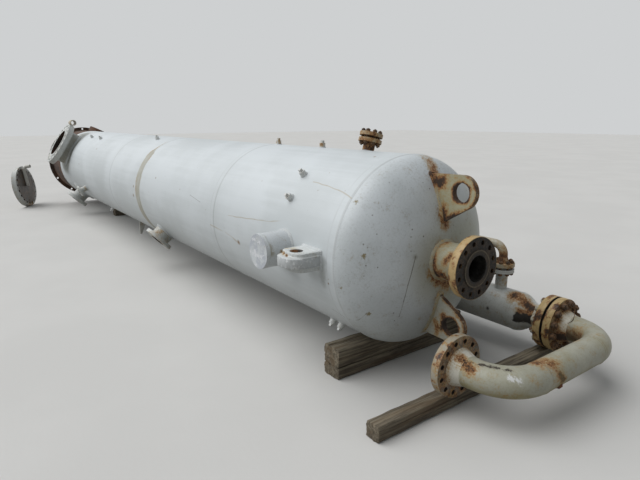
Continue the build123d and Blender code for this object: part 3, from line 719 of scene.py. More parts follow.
# %% Paint for the two lugs
upper_eye = (seam + 0.395, 0.404)
lower_eye = (seam + 0.378, -0.386)
upper_lug_paint = dress("upper_lug_paint", lug_look(
    upper_eye,
    (((-0.345, 0.0, 0.480), (-0.275, 0.0, 0.450), 0.085, 1.15),
     ((-0.300, 0.0, 0.440), (-0.262, 0.0, 0.330), 0.045, 0.7),
     ((-0.258, 0.0, 0.300), (-0.235, 0.0, 0.230), 0.070, 1.2),
     ((-0.230, 0.0, 0.240), (-0.150, 0.0, 0.285), 0.040, 1.5)),
    (170, 166, 138), 0.015, ((-0.238, 0.0, 0.236), (-0.172, 0.0, 0.268))), 0.0012)
lower_lug_paint = dress("lower_lug_paint", lug_look(
    lower_eye,
    (((-0.210, 0.0, -0.235), (-0.075, 0.0, -0.315), 0.030, 1.2),
     ((-0.203, 0.0, -0.350), (-0.190, 0.0, -0.400), 0.055, 1.5),
     ((-0.265, 0.0, -0.400), (-0.240, 0.0, -0.450), 0.060, 0.7)),
    (176, 176, 164), 0.02, ((-0.212, 0.0, -0.420), (-0.195, 0.0, -0.350))), 0.0012)
print("eyes at", [round(v, 3) for v in upper_eye], [round(v, 3) for v in lower_eye])

# %% [markdown]
# ### Everything else that was painted
#
# Nozzles, trunnions, side lugs, the exchanger and its lines were all painted in some off-white. A
# part rusts most at its own root, at a cut edge and under a nut, so one look takes its coat, the
# list of such places, and how bad the rust has got.

# %% A look from a list of rusty places
def coated(tint, places, cover, scale=12.0, bore=None):
    """Look of a painted part: places as in rusty, and a bore is (clock, below, radius)."""
    def look(where):
        base = srgb(*tint)
        tone = where.noise(3.0, 4).rise(0.35, 0.65)
        coat = tone.between(tuple(0.84 * v for v in base[:3]) + (1.0,), base)
        colour, roughness, height = weathered(where, coat, rusty(where, places), cover, scale)
        if bore:
            clock, below, radius = bore
            inside = where.from_axis(on_shell(clock, below), shell_way(clock))
            inside = inside.rise(radius + 0.002, radius + 0.001)
            colour = inside.between(colour, tone.between(black, srgb(70, 48, 35)))
        return colour, roughness, height
    return look


# %% The shell's nozzles
pale = (204, 207, 204)


def nozzle_look(name, tint, reach, cover, scale, radius=None):
    """Look of a shell nozzle, rusty at its root and behind its flange; radius is the bore's."""
    clock, below = shell_nozzles[name][:2]
    places = (
        (on_shell(clock, below), on_shell(clock, below, shell_radius + 0.03), 0.14, 0.55),
        (on_shell(clock, below, reach), on_shell(clock, below, reach - 0.03), 0.12, 0.35))
    return coated(tint, places, cover, scale, (clock, below, radius) if radius else None)


def manway_look(where):
    """Nozzle coat with painted shade on the neck, which the flange shades."""
    colour, roughness, height = nozzle_look("manway", pale, 0.788, -0.03, 7, 0.2286)(where)
    # Painted shade on the neck under the flange, in an olive dirt colour.
    dirt_and_shade = where.from_axis(*tower_axis).rise(0.735, 0.690) * where.noise(4, 4).rise(0.25, 0.55)
    outside = where.from_axis(manway_foot, shell_way(shell_nozzles["manway"][0]))
    dirt_and_shade = dirt_and_shade * outside.rise(0.226, 0.232)
    return layered(colour, (dirt_and_shade * 0.62, (116, 114, 98))), roughness, height


manway_paint = dress("manway_paint", manway_look, 0.0012)
inlet_paint = dress(
    "inlet_paint", nozzle_look("inlet", pale, 0.774, -0.02, 12, 0.0762), 0.0012)
middle_paint = dress(
    "middle_paint", nozzle_look("middle", pale, 0.714, 0.02, 12, 0.0762), 0.0012)
drain_paint = dress(
    "drain_paint", nozzle_look("drain", pale, 0.718, -0.07, 14, 0.02465), 0.0010)
vent_paint = dress(
    "vent_paint", nozzle_look("vent", (168, 160, 146), 0.70, 0.135, 22), 0.0010)
print("nozzles on the shell:", len(shell_nozzles))

# %% Side lugs and trunnions
lug_below = 0.208
lug_eye_x = seam - lug_below
lug_eye_out = shell_radius + 0.108
lug_eye_radius = 0.038
trunnion_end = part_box("trunnions")[1].y
print("trunnions end", round(trunnion_end, 4), "m from the axis")


def side_lug_look(where):
    """Clean coat: scuffed round the edge, ochre at the foot-side corner, dark in the eye."""
    places = (
        ((-0.815, -0.735, 0.034), (-0.780, -0.752, 0.034), 0.026, 1.30),
        ((-0.780, -0.752, 0.034), (-0.740, -0.762, 0.034), 0.018, 1.05),
        ((-0.833, -0.700, -0.01), (-0.833, -0.705, 0.03), 0.024, 1.25),
    )
    colour, roughness, height = coated((214, 218, 217), places, -0.075, 16)(where)
    fine = where.noise(42, 5, 0.7)
    edge = where.part("Z").size().rise(0.031, 0.029)
    corner = close_to(where.from_line((-0.828, -0.745, 0.04), (-0.800, -0.700, 0.056)), 0.060)
    ochre = corner * where.noise(22, 4, 0.65).rise(0.40, 0.60)
    colour = layered(
        colour,
        (edge * 0.35, (160, 164, 170)),
        (edge * fine.rise(0.54, 0.62) * 0.8, (228, 230, 230)),
        (ochre * 0.75, (192, 170, 120)))
    along = where.part("X") - lug_eye_x
    out = where.part("Y").size() - lug_eye_out
    squared = along * along + out * out
    bore = squared.maths("SQRT", squared).rise(lug_eye_radius + 0.0025, lug_eye_radius + 0.0005)
    rusty_side = along.rise(-0.022, -0.034) * fine.rise(0.35, 0.50)
    colour = bore.between(colour, rusty_side.between(srgb(52, 45, 38), orange))
    return colour, roughness, height


def trunnion_look(where):
    """Clean bluish coat: a rust line along the cap's weld, and scuffs where slings rubbed."""
    places = (
        ((-1.010, -0.762, 0.102), (-0.990, -0.755, 0.085), 0.013, 1.25),
        ((-0.957, -0.755, 0.048), (-0.945, -0.758, 0.012), 0.015, 1.15),
        ((-0.936, -0.680, 0.010), (-0.936, -0.680, -0.030), 0.024, 1.0),
    )
    colour, roughness, height = coated((212, 217, 220), places, -0.08, 18)(where)
    fine = where.noise(38, 5, 0.7)
    cap = where.part("Y").size().rise(trunnion_end - 0.0012, trunnion_end - 0.0004)
    rubbed = where.noise(19, 5, 0.6).rise(0.56, 0.62)
    olive = close_to(where.from_line((-0.957, -0.755, 0.045), (-0.942, -0.750, 0.005)), 0.034)
    colour = layered(
        colour,
        (cap * where.noise(14, 4).rise(0.42, 0.58) * 0.7, (178, 184, 194)),
        (cap * rubbed * 0.85, (228, 230, 234)),
        (olive * fine.rise(0.42, 0.56) * 0.8, (132, 118, 74)))
    return colour, roughness, height


side_lug_paint = dress("side_lug_paint", side_lug_look, 0.0014)
trunnion_paint = dress("trunnion_paint", trunnion_look, 0.0010)

# %% Small fittings
socket_paint = dress("socket_paint", coated(
    (206, 203, 190),
    ((on_shell(126, 7.60, 0.66), on_shell(126, 7.75, 0.80), 0.10, 0.55),), 0.05, 16), 0.0012)
coupling_paint = dress("coupling_paint", coated(
    (228, 230, 228),
    ((on_shell(88, 0.9, 0.62), on_shell(88, 1.6, 0.62), 0.15, 0.42),), -0.035, 30), 0.0008)
clip_paint = dress("clip_paint", coated(
    (214, 213, 206),
    ((on_shell(251, 4.85), on_shell(251, 4.85, 0.62), 0.05, 0.6),), -0.04), 0.0012)
print("painted looks ready")

# %% [markdown]
# ### The exchanger and the return bend
#
# Orange rust creeps from the exchanger's reducer towards its flange, and a patch under it is black
# with old oil. The bend was dragged: its top is scraped dark near the open end, rust wells from its
# middle where a plug leaks, and the neck at the bolted end is brown all round. Under that neck,
# the hub of the bolted flange and the elbow's inner underside are dark with painted shade. Every
# such mark is a line between two points read off the pipe, frayed by noise.

# %% The exchanger's look
exchanger_axis = (0.876, -0.5264)
exchanger_y, exchanger_z = exchanger_axis
branch_places = (-0.429, -2.871)


def exchanger_look(where):
    places = (
        ((-0.270, 0.825, -0.400), (-0.140, 0.820, -0.450), 0.095, 1.15),
        ((-0.200, 0.775, -0.480), (-0.140, 0.790, -0.490), 0.060, 1.0),
        ((-3.10, 0.80, -0.44), (-3.22, 0.82, -0.46), 0.10, 0.9),
        *(((x, exchanger_y, -0.39), (x, exchanger_y, -0.36), 0.09, 0.45) for x in branch_places),
    )
    colour, roughness, height = coated((202, 204, 200), places, -0.03)(where)
    fine = where.noise(30, 5, 0.7)
    oily = where.from_line((-0.205, 0.765, -0.530), (-0.130, 0.790, -0.530)) + (fine - 0.5) * 0.06
    dot = close_to(where.from_point((-0.431, 0.740, -0.525)) + (fine - 0.5) * 0.02, 0.020)
    colour = layered(
        colour, (close_to(oily, 0.060).rise(0.25, 0.5), (34, 29, 24)), (dot, (38, 31, 25)))
    return colour, roughness, height


exchanger_paint = dress("exchanger_paint", exchanger_look, 0.0014)
print("exchanger lies at y, z", exchanger_axis)

# %% The bend's look
open_end_y = -0.146
elbow_welds_y = (0.0826, 0.6474)


def bend_look(where):
    places = (
        ((0.076, -0.192, -0.443), (0.150, -0.205, -0.468), 0.065, 1.0),
        ((0.335, 0.100, -0.440), (0.405, 0.150, -0.462), 0.120, 0.78),
        ((0.425, 0.165, -0.500), (0.442, 0.195, -0.535), 0.050, 1.25),
        ((0.380, 0.240, -0.600), (0.400, 0.120, -0.600), 0.050, 0.9),
        ((0.130, 0.80, -0.53), (0.19, 0.79, -0.56), 0.070, 0.8),
        ((0.185, 0.785, -0.505), (0.240, 0.735, -0.520), 0.070, 0.9),
        ((0.300, -0.160, -0.590), (0.350, -0.120, -0.590), 0.060, 0.5),
    )
    colour, roughness, height = coated((178, 177, 160), places, -0.01, 15)(where)
    fine = where.noise(34, 5, 0.75, stretch=(1.0, 3.0, 1.0))
    under = where.part("Z").rise(-0.53, -0.61) * 0.5
    mossy = (where.noise(5, 4) * 0.8 + under).rise(0.34, 0.72)
    colour = layered(colour, (mossy * 0.75, (140, 130, 84)))
    dashes = where.noise(26, 3, 0.6).rise(0.42, 0.48)
    for start, end, reach in (
            ((0.130, -0.180, -0.449), (0.227, -0.149, -0.446), 0.01625),
            ((0.227, -0.149, -0.446), (0.310, -0.095, -0.446), 0.015),
            ((0.105, -0.195, -0.452), (0.140, -0.190, -0.452), 0.020)):
        scraped = where.from_line(start, end) + (fine - 0.5) * 0.07
        colour = layered(colour, (close_to(scraped, reach) * dashes, (52, 42, 34)))
    knocked = where.from_line((0.330, -0.125, -0.470), (0.372, -0.095, -0.485))
    # Painted shade under the elbow's inner side, by the bolted end.
    elbow_shade = where.from_line((0.125, 0.800, -0.560), (0.235, 0.728, -0.535))
    colour = layered(
        colour,
        (close_to(knocked + (fine - 0.5) * 0.10, 0.020) * 0.8, (226, 228, 228)),
        (close_to(elbow_shade + (fine - 0.5) * 0.06, 0.085) * 0.9, (66, 54, 38)))
    for y in elbow_welds_y:
        line = close_to((where.part("Y") - y - 0.012).size(), 0.006)
        colour = layered(colour, (line * where.part("X").rise(0.27, 0.29) * 0.35, (120, 100, 76)))
    return colour, roughness, height


bend_paint = dress("bend_paint", bend_look, 0.0014)
print("bend welds at y", elbow_welds_y)

# %% The pipework's flanges and the glycol line
upper_flange_paint = dress("upper_flange_paint", flange_look(
    0.0, exchanger_axis, 1, (194, 168, 118), (150, 122, 84), 0.0, 0.07), 0.0012)
lower_flange_paint = dress("lower_flange_paint", flange_look(
    -3.3, exchanger_axis, -1, (172, 142, 98), (150, 118, 78), 0.06, 0.08), 0.0012)
# The rusty place under this flange's hub is painted shade, laid on as rust.
fixed_flange_paint = dress("fixed_flange_paint", flange_look(
    0.0045, exchanger_axis, -1, (190, 164, 114), (164, 146, 110), -0.01, 0.02,
    (((0.060, 0.790, -0.580), (0.120, 0.800, -0.580), 0.085, 1.3),)), 0.0012)
open_flange_paint = dress("open_flange_paint", flange_look(
    -0.02, (open_end_y, exchanger_z), -1, (166, 159, 143), (84, 70, 54), 0.02, -0.035,
    (((0.070, -0.200, -0.450), (0.100, -0.190, -0.440), 0.060, 1.0),
     ((-0.02, -0.100, -0.385), (0.03, -0.060, -0.400), 0.060, 1.0))), 0.0012)
glycol_paint = dress("glycol_paint", coated(
    (188, 182, 164),
    (((branch_places[0], exchanger_y, -0.24), (branch_places[0], exchanger_y, -0.16), 0.12, 0.8),),
    0.05, 20), 0.0010)
print("pipework looks ready")

# %% [markdown]
# ### Bare steel, gasket, skirt and timber
#
# The skirt and the bottom head inside it were never painted, and the skirt's outside has gone
# red-brown, with darker sheets of mill scale. The timbers are softwood baulks left in the weather:
# grey-brown all over, darker near the floor, with dark checks along the grain.
# Rust and wood are both noise: the same every way for rust, stretched along the grain for wood.

# %% Looks for rust, gasket and manway cover
def bare_rust(light, dark, scale):
    """Look of bare steel: clouds of a light and a dark rust with black pits."""
    def look(where):
        cloud = where.noise(scale, 6, 0.65)
        fine = where.noise(scale * 8, 5, 0.7)
        colour = cloud.rise(0.38, 0.62).between(srgb(*dark), srgb(*light))
        colour = (fine.rise(0.58, 0.72) * 0.5).between(colour, orange)
        colour = (where.specks(scale * 4, 0.22) * 0.5).between(colour, black)
        return colour, 0.72 + cloud * 0.2, cloud * 0.5 + fine * 0.5
    return look


def gasket_look(where):
    fine = where.noise(120, 4)
    colour = fine.rise(0.35, 0.65).between(srgb(38, 36, 34), srgb(86, 74, 60))
    return colour, 0.7 + fine * 0.2, fine


def cover_look(where):
    """Painted cover whose inner face, within its gasket seat, is bare and rusty."""
    face = where.from_point((-9.40, -1.10, -0.4207)).rise(0.330, 0.318)
    cloud = where.noise(9, 5, 0.6)
    bare, _, _ = bare_rust((96, 74, 56), (52, 43, 35), 8)(where)
    foot = ((-9.4, -1.1, -0.75), (-9.3, -1.0, -0.75), 0.2, 0.5)
    painted, roughness, height = coated(pale, (foot,), 0.0)(where)
    return (face * 0.85 * cloud.rise(0.2, 0.4)).between(painted, bare), roughness, height


# %% Paint for the bare parts
stud_rusts = ((122, 92, 64), (66, 52, 40), 26.0)


def joint_look(where):
    """Rusty studs whose nuts on the exchanger's side still carry its paint."""
    colour, roughness, height = bare_rust(*stud_rusts)(where)
    painted = where.part("X").rise(-0.046, -0.054) * where.noise(34, 4).rise(0.42, 0.52)
    return layered(colour, (painted * 0.9, (198, 192, 174))), roughness, height


skirt_rust = dress("skirt_rust", bare_rust((98, 70, 52), (56, 43, 36), 3.0), 0.0020)
ring_rust = dress("ring_rust", bare_rust((98, 76, 60), (60, 48, 40), 6.0), 0.0018)
stud_rust = dress("stud_rust", bare_rust(*stud_rusts), 0.0006)
plug_rust = dress("plug_rust", bare_rust((112, 70, 44), (52, 38, 30), 30.0), 0.0010)
joint_rust = dress("joint_rust", joint_look, 0.0006)
gasket_grey = dress("gasket_grey", gasket_look, 0.0004)
cover_paint = dress("cover_paint", cover_look, 0.0014)
print("bare parts ready")


# %% Weathered wood
def wood_look(where):
    """Grain, bands and checks that all run along y, because every timber lies across the tower."""
    along_y = (22.0, 1.0, 22.0)
    grain = where.noise(3.0, 6, 0.7, stretch=along_y)
    bands = where.noise(1.1, 3, 0.5, stretch=along_y)
    fine = where.noise(14, 4, 0.7, stretch=along_y)
    check = fine.rise(0.64, 0.70)
    # Darker near the floor, in patches.
    near_floor = (ground + 0.07 - where.part("Z")).rise(-0.04, 0.06) * where.noise(4.0, 4).rise(0.3, 0.6)
    colour = layered(
        grain.rise(0.34, 0.66).between(srgb(74, 66, 54), srgb(142, 132, 113)),
        (bands.rise(0.52, 0.66) * 0.6, (100, 82, 60)),
        (check * 0.8, (46, 38, 30)),
        (near_floor * 0.55, (72, 62, 50)))
    return colour, 0.8 + grain * 0.15, grain * 0.6 + fine * 0.4 - check


wood_along_y = dress("wood_along_y", wood_look, 0.0022)
print("materials so far:", len(bpy.data.materials))

# %% [markdown]
# ## Meshes from two parameters
#
# Every added piece is a surface that two numbers sweep out: how far round, and how far along. The
# points come as one array, rows along and columns round. One function stitches them, closes the
# round way, and caps each end with a fan. Another turns the faces outward, by the volume that they
# enclose.


# %% Stitch a grid and turn its faces outward
def stitched(rows, close_rows=False):
    """Points and faces of a tube; its columns close up, and its rows do too or get end caps."""
    count, round_count = rows.shape[:2]
    points = rows.reshape(-1, 3)
    last = count if close_rows else count - 1
    row = np.arange(last)[:, None]
    column = np.arange(round_count)[None, :]
    here = row * round_count + column
    beside = row * round_count + (column + 1) % round_count
    ahead = ((row + 1) % count) * round_count + column
    across = ((row + 1) % count) * round_count + (column + 1) % round_count
    faces = np.stack([here, beside, across, ahead], -1).reshape(-1, 4).tolist()
    if not close_rows:
        total = len(points)
        points = np.vstack([points, rows[0].mean(0), rows[-1].mean(0)])
        ring = np.arange(round_count)
        onward = (ring + 1) % round_count
        far = (count - 1) * round_count
        faces += np.stack([onward, ring, np.full_like(ring, total)], -1).tolist()
        faces += np.stack([far + ring, far + onward, np.full_like(ring, total + 1)], -1).tolist()
    return points, faces


def outward(points, faces):
    """The same faces, turned over if the closed surface encloses a negative volume."""
    corner = [points[[face[k] for face in faces]] for k in range(3)]
    volume = np.einsum("ij,ij->i", corner[0], np.cross(corner[1], corner[2])).sum()
    quads = [face for face in faces if len(face) == 4]
    if quads:
        quad = [points[[face[k] for face in quads]] for k in (0, 2, 3)]
        volume += np.einsum("ij,ij->i", quad[0], np.cross(quad[1], quad[2])).sum()
    return faces if volume > 0 else [face[::-1] for face in faces]


print("a grid of 3 by 8 makes", len(stitched(np.zeros((3, 8, 3)))[1]), "faces")


# %% Gather stitched grids in one object on the body
def piece(name, parts, material, crease=60.0):
    """One object on the body from several stitched parts, smooth except past the crease angle."""
    all_points, all_faces, start = [], [], 0
    for points, faces in parts:
        all_points.append(points)
        all_faces += [[start + index for index in face] for face in outward(points, faces)]
        start += len(points)
    mesh = bpy.data.meshes.new(name)
    mesh.from_pydata(np.vstack(all_points).tolist(), [], all_faces)
    mesh.polygons.foreach_set("use_smooth", np.ones(len(mesh.polygons), bool))
    mesh.set_sharp_from_angle(angle=math.radians(crease))
    mesh.materials.append(material)
    mesh.update()
    made = bpy.data.objects.new(name, mesh)
    bpy.context.scene.collection.objects.link(made)
    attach(made, "root")
    print(name, "-", len(parts), "parts,", len(mesh.polygons), "faces")
    return made


def unit(vectors):
    """The same directions at length 1."""
    return vectors / np.linalg.norm(vectors, axis=-1, keepdims=True)


print("unit of (3, 0, 4) is", unit(np.array([3.0, 0.0, 4.0])).tolist())

# %% [markdown]
# ## Weld beads
#
# A bead is laid in overlapping puddles, so from close by it looks like a row of fish scales. Each
# one here is a small section carried along the joint, swelling and shrinking once for each puddle,
# and never quite even. Where two plates meet edge to edge the section is a low crown; where a
# nozzle or lug stands on the shell it is a fillet that fills the corner. Bump in a material would
# be lost in the outline and leave the corner sharp, so the beads are meshes.

# %% A section carried along a joint
crown_section = np.array([
    (-1.0, -0.25), (-0.62, 0.62), (0.0, 1.0), (0.62, 0.62), (1.0, -0.25), (0.0, -0.5)])
fillet_section = np.array([
    (-0.3, -0.3), (1.0, -0.12), (0.80, 0.38), (0.38, 0.80), (-0.12, 1.0)])


def bead(path, first, second, section, size, puddle, seed=1):
    """Closed bead: at each point of the path the section's two directions are first and second.

    size is the section's half width and height; it swells as the size of a sine, once a puddle.
    """
    step = np.linalg.norm(np.roll(path, -1, 0) - path, axis=1)
    run = np.concatenate([[0.0], np.cumsum(step)[:-1]])
    total = step.sum()
    puddles = max(8, round(total / puddle))
    phase = run / total * puddles * np.pi
    drift = np.random.default_rng(seed).uniform(0, 2 * np.pi, 3)
    slow = sum(np.sin(run / total * 2 * np.pi * k + drift[k % 3]) for k in (5, 9, 14)) / 3
    swell = 1 + 0.16 * np.abs(np.sin(phase)) + 0.08 * slow
    spread = section[None, :, 0, None] * size[0] * swell[:, None, None]
    lift = section[None, :, 1, None] * size[1] * swell[:, None, None]
    rows = path[:, None] + first[:, None] * spread + second[:, None] * lift
    return stitched(rows, close_rows=True)


def ring_bead(centre, axis, radius, size=(0.007, 0.0020), puddle=0.009, seed=1):
    """Crown bead round a pipe or vessel: centre on the axis, axis 0 for x, 1 for y, 2 for z."""
    count = max(48, round(2 * np.pi * radius / puddle) * 4)
    angle = np.linspace(0, 2 * np.pi, count, endpoint=False)
    radial = np.zeros((count, 3))
    radial[:, (axis + 1) % 3] = np.cos(angle)
    radial[:, (axis + 2) % 3] = np.sin(angle)
    along = np.zeros((count, 3))
    along[:, axis] = 1.0
    path = np.array(centre) + radial * radius
    return bead(path, along, radial, crown_section, size, puddle, seed)


print("sections of", len(crown_section), "and", len(fillet_section), "corners")


# %% The outline of a foot
def rounded_loop(half_long, half_wide, corner, spacing, steps=13):
    """Evenly spaced points round a rectangle with round corners, and the way out at each."""
    quarter = np.linspace(0, np.pi / 2, steps)
    turns = np.concatenate([quarter + np.pi / 2 * side for side in range(4)])
    along = np.repeat([1, -1, -1, 1], steps) * (half_long - corner) + corner * np.cos(turns)
    wide = np.repeat([1, 1, -1, -1], steps) * (half_wide - corner) + corner * np.sin(turns)
    loop = np.stack([along, wide], 1)
    loop = np.vstack([loop, loop[:1]])
    run = np.concatenate([[0.0], np.cumsum(np.linalg.norm(np.diff(loop, axis=0), axis=1))])
    even = np.linspace(0, run[-1], max(32, round(run[-1] / spacing)), endpoint=False)
    points = np.stack([np.interp(even, run, loop[:, side]) for side in (0, 1)], 1)
    way = np.roll(points, -1, 0) - np.roll(points, 1, 0)
    return points, unit(np.stack([way[:, 1], -way[:, 0]], 1))


print("a small foot has", len(rounded_loop(0.1, 0.05, 0.01, 0.002)[0]), "points")


# %% Fillets on a barrel and on the top head
def fillet(path, out, normal, up, leg):
    """Fillet along a foot's edge: out leaves the foot and is laid flat on the surface below."""
    out = unit(out - normal * np.sum(out * normal, 1, keepdims=True))
    return bead(path, out, up, fillet_section, (leg, leg), leg * 0.8)


def barrel_fillet(clock, x, half_long, half_wide, corner, leg, radius=shell_radius, axis=(0, 0)):
    """Fillet round the foot of a part that stands on a round barrel lying along x.

    The foot is a rounded rectangle on a plane that touches the barrel; each of its points drops
    onto the barrel by the circle's own height at that distance from the middle.
    """
    points, way_out = rounded_loop(half_long, half_wide, corner, leg * 0.2)
    along = np.array([1.0, 0.0, 0.0])
    normal = np.array(shell_way(clock))
    tangent = np.cross(along, normal)
    rise = np.sqrt(radius**2 - points[:, 1] ** 2)
    radial = normal * rise[:, None] + tangent * points[:, 1:]
    path = np.array([x, *axis]) + radial + along * points[:, :1]
    out = along * way_out[:, :1] + tangent * way_out[:, 1:]
    return fillet(path, out, radial / radius, np.broadcast_to(normal, out.shape), leg)


def round_fillet(clock, x, foot, leg, *barrel):
    """The same round a round foot."""
    return barrel_fillet(clock, x, foot, foot, foot, leg, *barrel)


def head_fillet(up_place, half_across, half_up, corner, leg, straight_up):
    """Fillet round a foot on the top head: straight_up is true where the part rises along x.

    The foot is a rounded rectangle seen along x, and the half ellipse gives each point its x.
    """
    points, way_out = rounded_loop(half_across, half_up, corner, leg * 0.2)
    y, z = points[:, 0], up_place + points[:, 1]
    share = np.sqrt(1 - (y**2 + z**2) / shell_radius**2)
    path = np.stack([seam + head_depth * share, y, z], 1)
    normal = unit(np.stack([share / head_depth, y / shell_radius**2, z / shell_radius**2], 1))
    out = np.pad(way_out, ((0, 0), (1, 0)))
    up = np.broadcast_to([1.0, 0.0, 0.0], out.shape) if straight_up else normal
    return fillet(path, out, normal, up, leg)


# %% Girth seams of the vessel
girth_beads = [
    ring_bead((x, 0.0, 0.0), 0, shell_radius, (0.011, 0.0022), 0.016, seed)
    for seed, x in enumerate(girth_seams)]
piece("girth_welds", girth_beads, shell_paint)

# %% Fillets where nozzles, couplings and lugs stand on the shell
neck_radius = 0.11115
trunnion_below, trunnion_radius = 0.516, 0.10955
couplings = (
    (131.5, 0.575), (149, 0.556), (88, 0.938), (88, 1.561), (107.3, 4.016),
    (120.4, 6.234), (119.4, 6.826), (235.5, 0.232), (235.5, 0.320), (235.2, 5.753),
)
round_feet = [
    *shell_nozzles.values(),
    *((clock, trunnion_below, trunnion_radius, 0.012) for clock in (0, 180)),
    *((clock, below, 0.022, 0.006) for clock, below in couplings),
]
inlet_clock, inlet_below = shell_nozzles["inlet"][:2]
inlet_pad_thickness = 0.018
shell_fillets = [
    round_fillet(clock, seam - below, foot, leg) for clock, below, foot, leg in round_feet]
shell_fillets += [round_fillet(
    inlet_clock, seam - inlet_below, neck_radius, 0.014, shell_radius + inlet_pad_thickness)]
shell_fillets += [
    barrel_fillet(clock, lug_eye_x, half_long, half_wide, 0.006, leg)
    for half_long, half_wide, leg in ((0.092, 0.056, 0.011), (0.098, 0.030, 0.010))
    for clock in (0, 180)]
cap_weld_out = shell_radius + 0.168
shell_fillets += [
    ring_bead(
        (seam - trunnion_below, side * cap_weld_out, 0.0), 1, trunnion_radius, (0.006, 0.0022))
    for side in (-1, 1)]
fillet_paint = dress("fillet_paint", coated(
    (204, 209, 210), ((on_shell(148, 7.4), on_shell(148, 8.0), 0.4, 0.3),), -0.09, 20), 0.0008)
piece("shell_fillets", shell_fillets, fillet_paint)

# %% Fillets on the top head, and the outlet's butt weld
lug_feet = ((0.360, 0.134), (-0.343, 0.134))
head_fillets = [head_fillet(0.0, neck_radius, neck_radius, neck_radius, 0.013, True)]
head_fillets += [
    head_fillet(middle, lug_half_thickness, half, 0.006, 0.012, False)
    for middle, half in lug_feet]
head_fillet_paint = dress("head_fillet_paint", coated((172, 168, 146), (
    (on_head(0, 0.5), on_head(0, 0.45), 0.10, 0.9),
    (on_head(0, 0.25), on_head(0, 0.22), 0.10, 0.9),
    (on_head(0, -0.22), on_head(0, -0.47), 0.10, 0.2),
    (on_head(0, -0.12), on_head(0, -0.1), 0.10, 0.6)), 0.035, 20), 0.0010)
piece("head_fillets", head_fillets, head_fillet_paint)
outlet_weld = [ring_bead((-0.128, 0.0, 0.0), 0, neck_radius)]
piece("outlet_weld", outlet_weld, gas_flange_paint)

# %% Beads along the exchanger, its brackets and the clip
pipe_radius = 0.08415
exchanger_radius = 0.1365
bracket_places = (0.480, 2.250)
exchanger_barrel = (exchanger_radius, exchanger_axis)
pipe_beads = [
    ring_bead((x, *exchanger_axis), 0, radius)
    for x, radius in (
        (-0.1237, pipe_radius), (-0.2637, exchanger_radius),
        (-3.0363, exchanger_radius), (-3.1763, pipe_radius))]
pipe_beads += [round_fillet(90, x, 0.030, 0.007, *exchanger_barrel) for x in branch_places]
pipe_beads += [
    barrel_fillet(clock, seam - below, 0.010, 0.075, 0.004, 0.009, *barrel)
    for clock, barrel in ((149, exchanger_barrel), (-31, ())) for below in bracket_places]
pipe_beads += [barrel_fillet(251.3, seam - 4.840, 0.010, 0.043, 0.004, 0.008)]
piece("exchanger_welds", pipe_beads, exchanger_paint)

# %% Beads along the bend, kept inside the part's box on its outer side
crossover_x = 0.3578
bend_beads = [ring_bead((0.1282, *exchanger_axis), 0, pipe_radius)]
bend_beads += [ring_bead((x, open_end_y, exchanger_z), 0, pipe_radius) for x in (0.1037, 0.1282)]
bend_beads += [ring_bead((crossover_x, y, exchanger_z), 1, pipe_radius) for y in elbow_welds_y]
outer_side = [loaded_high.x, np.inf, np.inf]
bend_beads = [(np.minimum(points, outer_side), faces) for points, faces in bend_beads]
piece("bend_welds", bend_beads, bend_paint)

# %% [markdown]
# ## Side lugs
#
# Each side lug is a thick plate burnt out with a round end, and a shorter cheek plate welded on
# each face round the eye. Seen along the eye's axis every level of it is a ring between the eye and
# an outline, so the whole lug is one set of rings: up the eye, out over the cheek, down to the
# plate, round its edge and back. The outline is straight at the sides and rounded at the tip, more
# on the head's side than on the foot's, and the torch left its edge a little wavy.

# %% A lug from rings round its eye
lug_root_out = shell_radius - 0.006
plate_size = (0.098, 0.098, 0.030)  # half width, reach past the eye and half thickness
cheek_size = (0.092, 0.056, 0.056)
edge_round = 0.003
head_side_power, foot_side_power = 2.1, 3.4


def lug_outline(half_width, tip, inset, angle):
    """Distance from the eye to the outline at each angle: rounded tip, two sides and root line.

    The tip is an oval whose power makes it round towards the head and squarer towards the foot.
    """
    half_width, tip = half_width - inset, tip - inset
    root = lug_eye_out - lug_root_out
    along, out = np.cos(angle), np.sin(angle)
    power = np.where(along > 0, head_side_power, foot_side_power)
    oval = (np.abs(along / half_width) ** power + np.abs(out / tip) ** power) ** (-1 / power)
    side = half_width / np.maximum(np.abs(along), 1e-6)
    foot = root / np.maximum(-out, 1e-6)
    return np.where(out > 0, oval, np.minimum(side, foot))


def side_lug(side, columns=180):
    """Rings of one lug; side is -1 for the near lug and 1 for the far one."""
    angle = np.linspace(0, 2 * np.pi, columns, endpoint=False)
    wavy = 0.0007 * np.sin(17 * angle + side) + 0.0005 * np.sin(31 * angle)
    eye = np.full(columns, lug_eye_radius)
    rings = [(eye + 0.002, cheek_size[2]), (eye, cheek_size[2] - 0.002)]
    levels = []
    for (half_width, tip, level), low in ((cheek_size, plate_size[2]), (plate_size, 0.0)):
        outline = lug_outline(half_width, tip, 0.0, angle)
        levels.append((lug_outline(half_width, tip, edge_round, angle), level))
        levels.append((outline + wavy, level - edge_round))
        levels.append((outline - wavy, low))
    upper = rings[::-1] + levels
    lower = [(radius, -level) for radius, level in upper[::-1][1:]]
    radius = np.array([ring for ring, _ in upper + lower])
    level = np.array([height for _, height in upper + lower])
    points = np.zeros((*radius.shape, 3))
    points[:, :, 0] = lug_eye_x + radius * np.cos(angle)
    points[:, :, 1] = side * (lug_eye_out + radius * np.sin(angle))
    points[:, :, 2] = level[:, None]
    return stitched(points, close_rows=True)


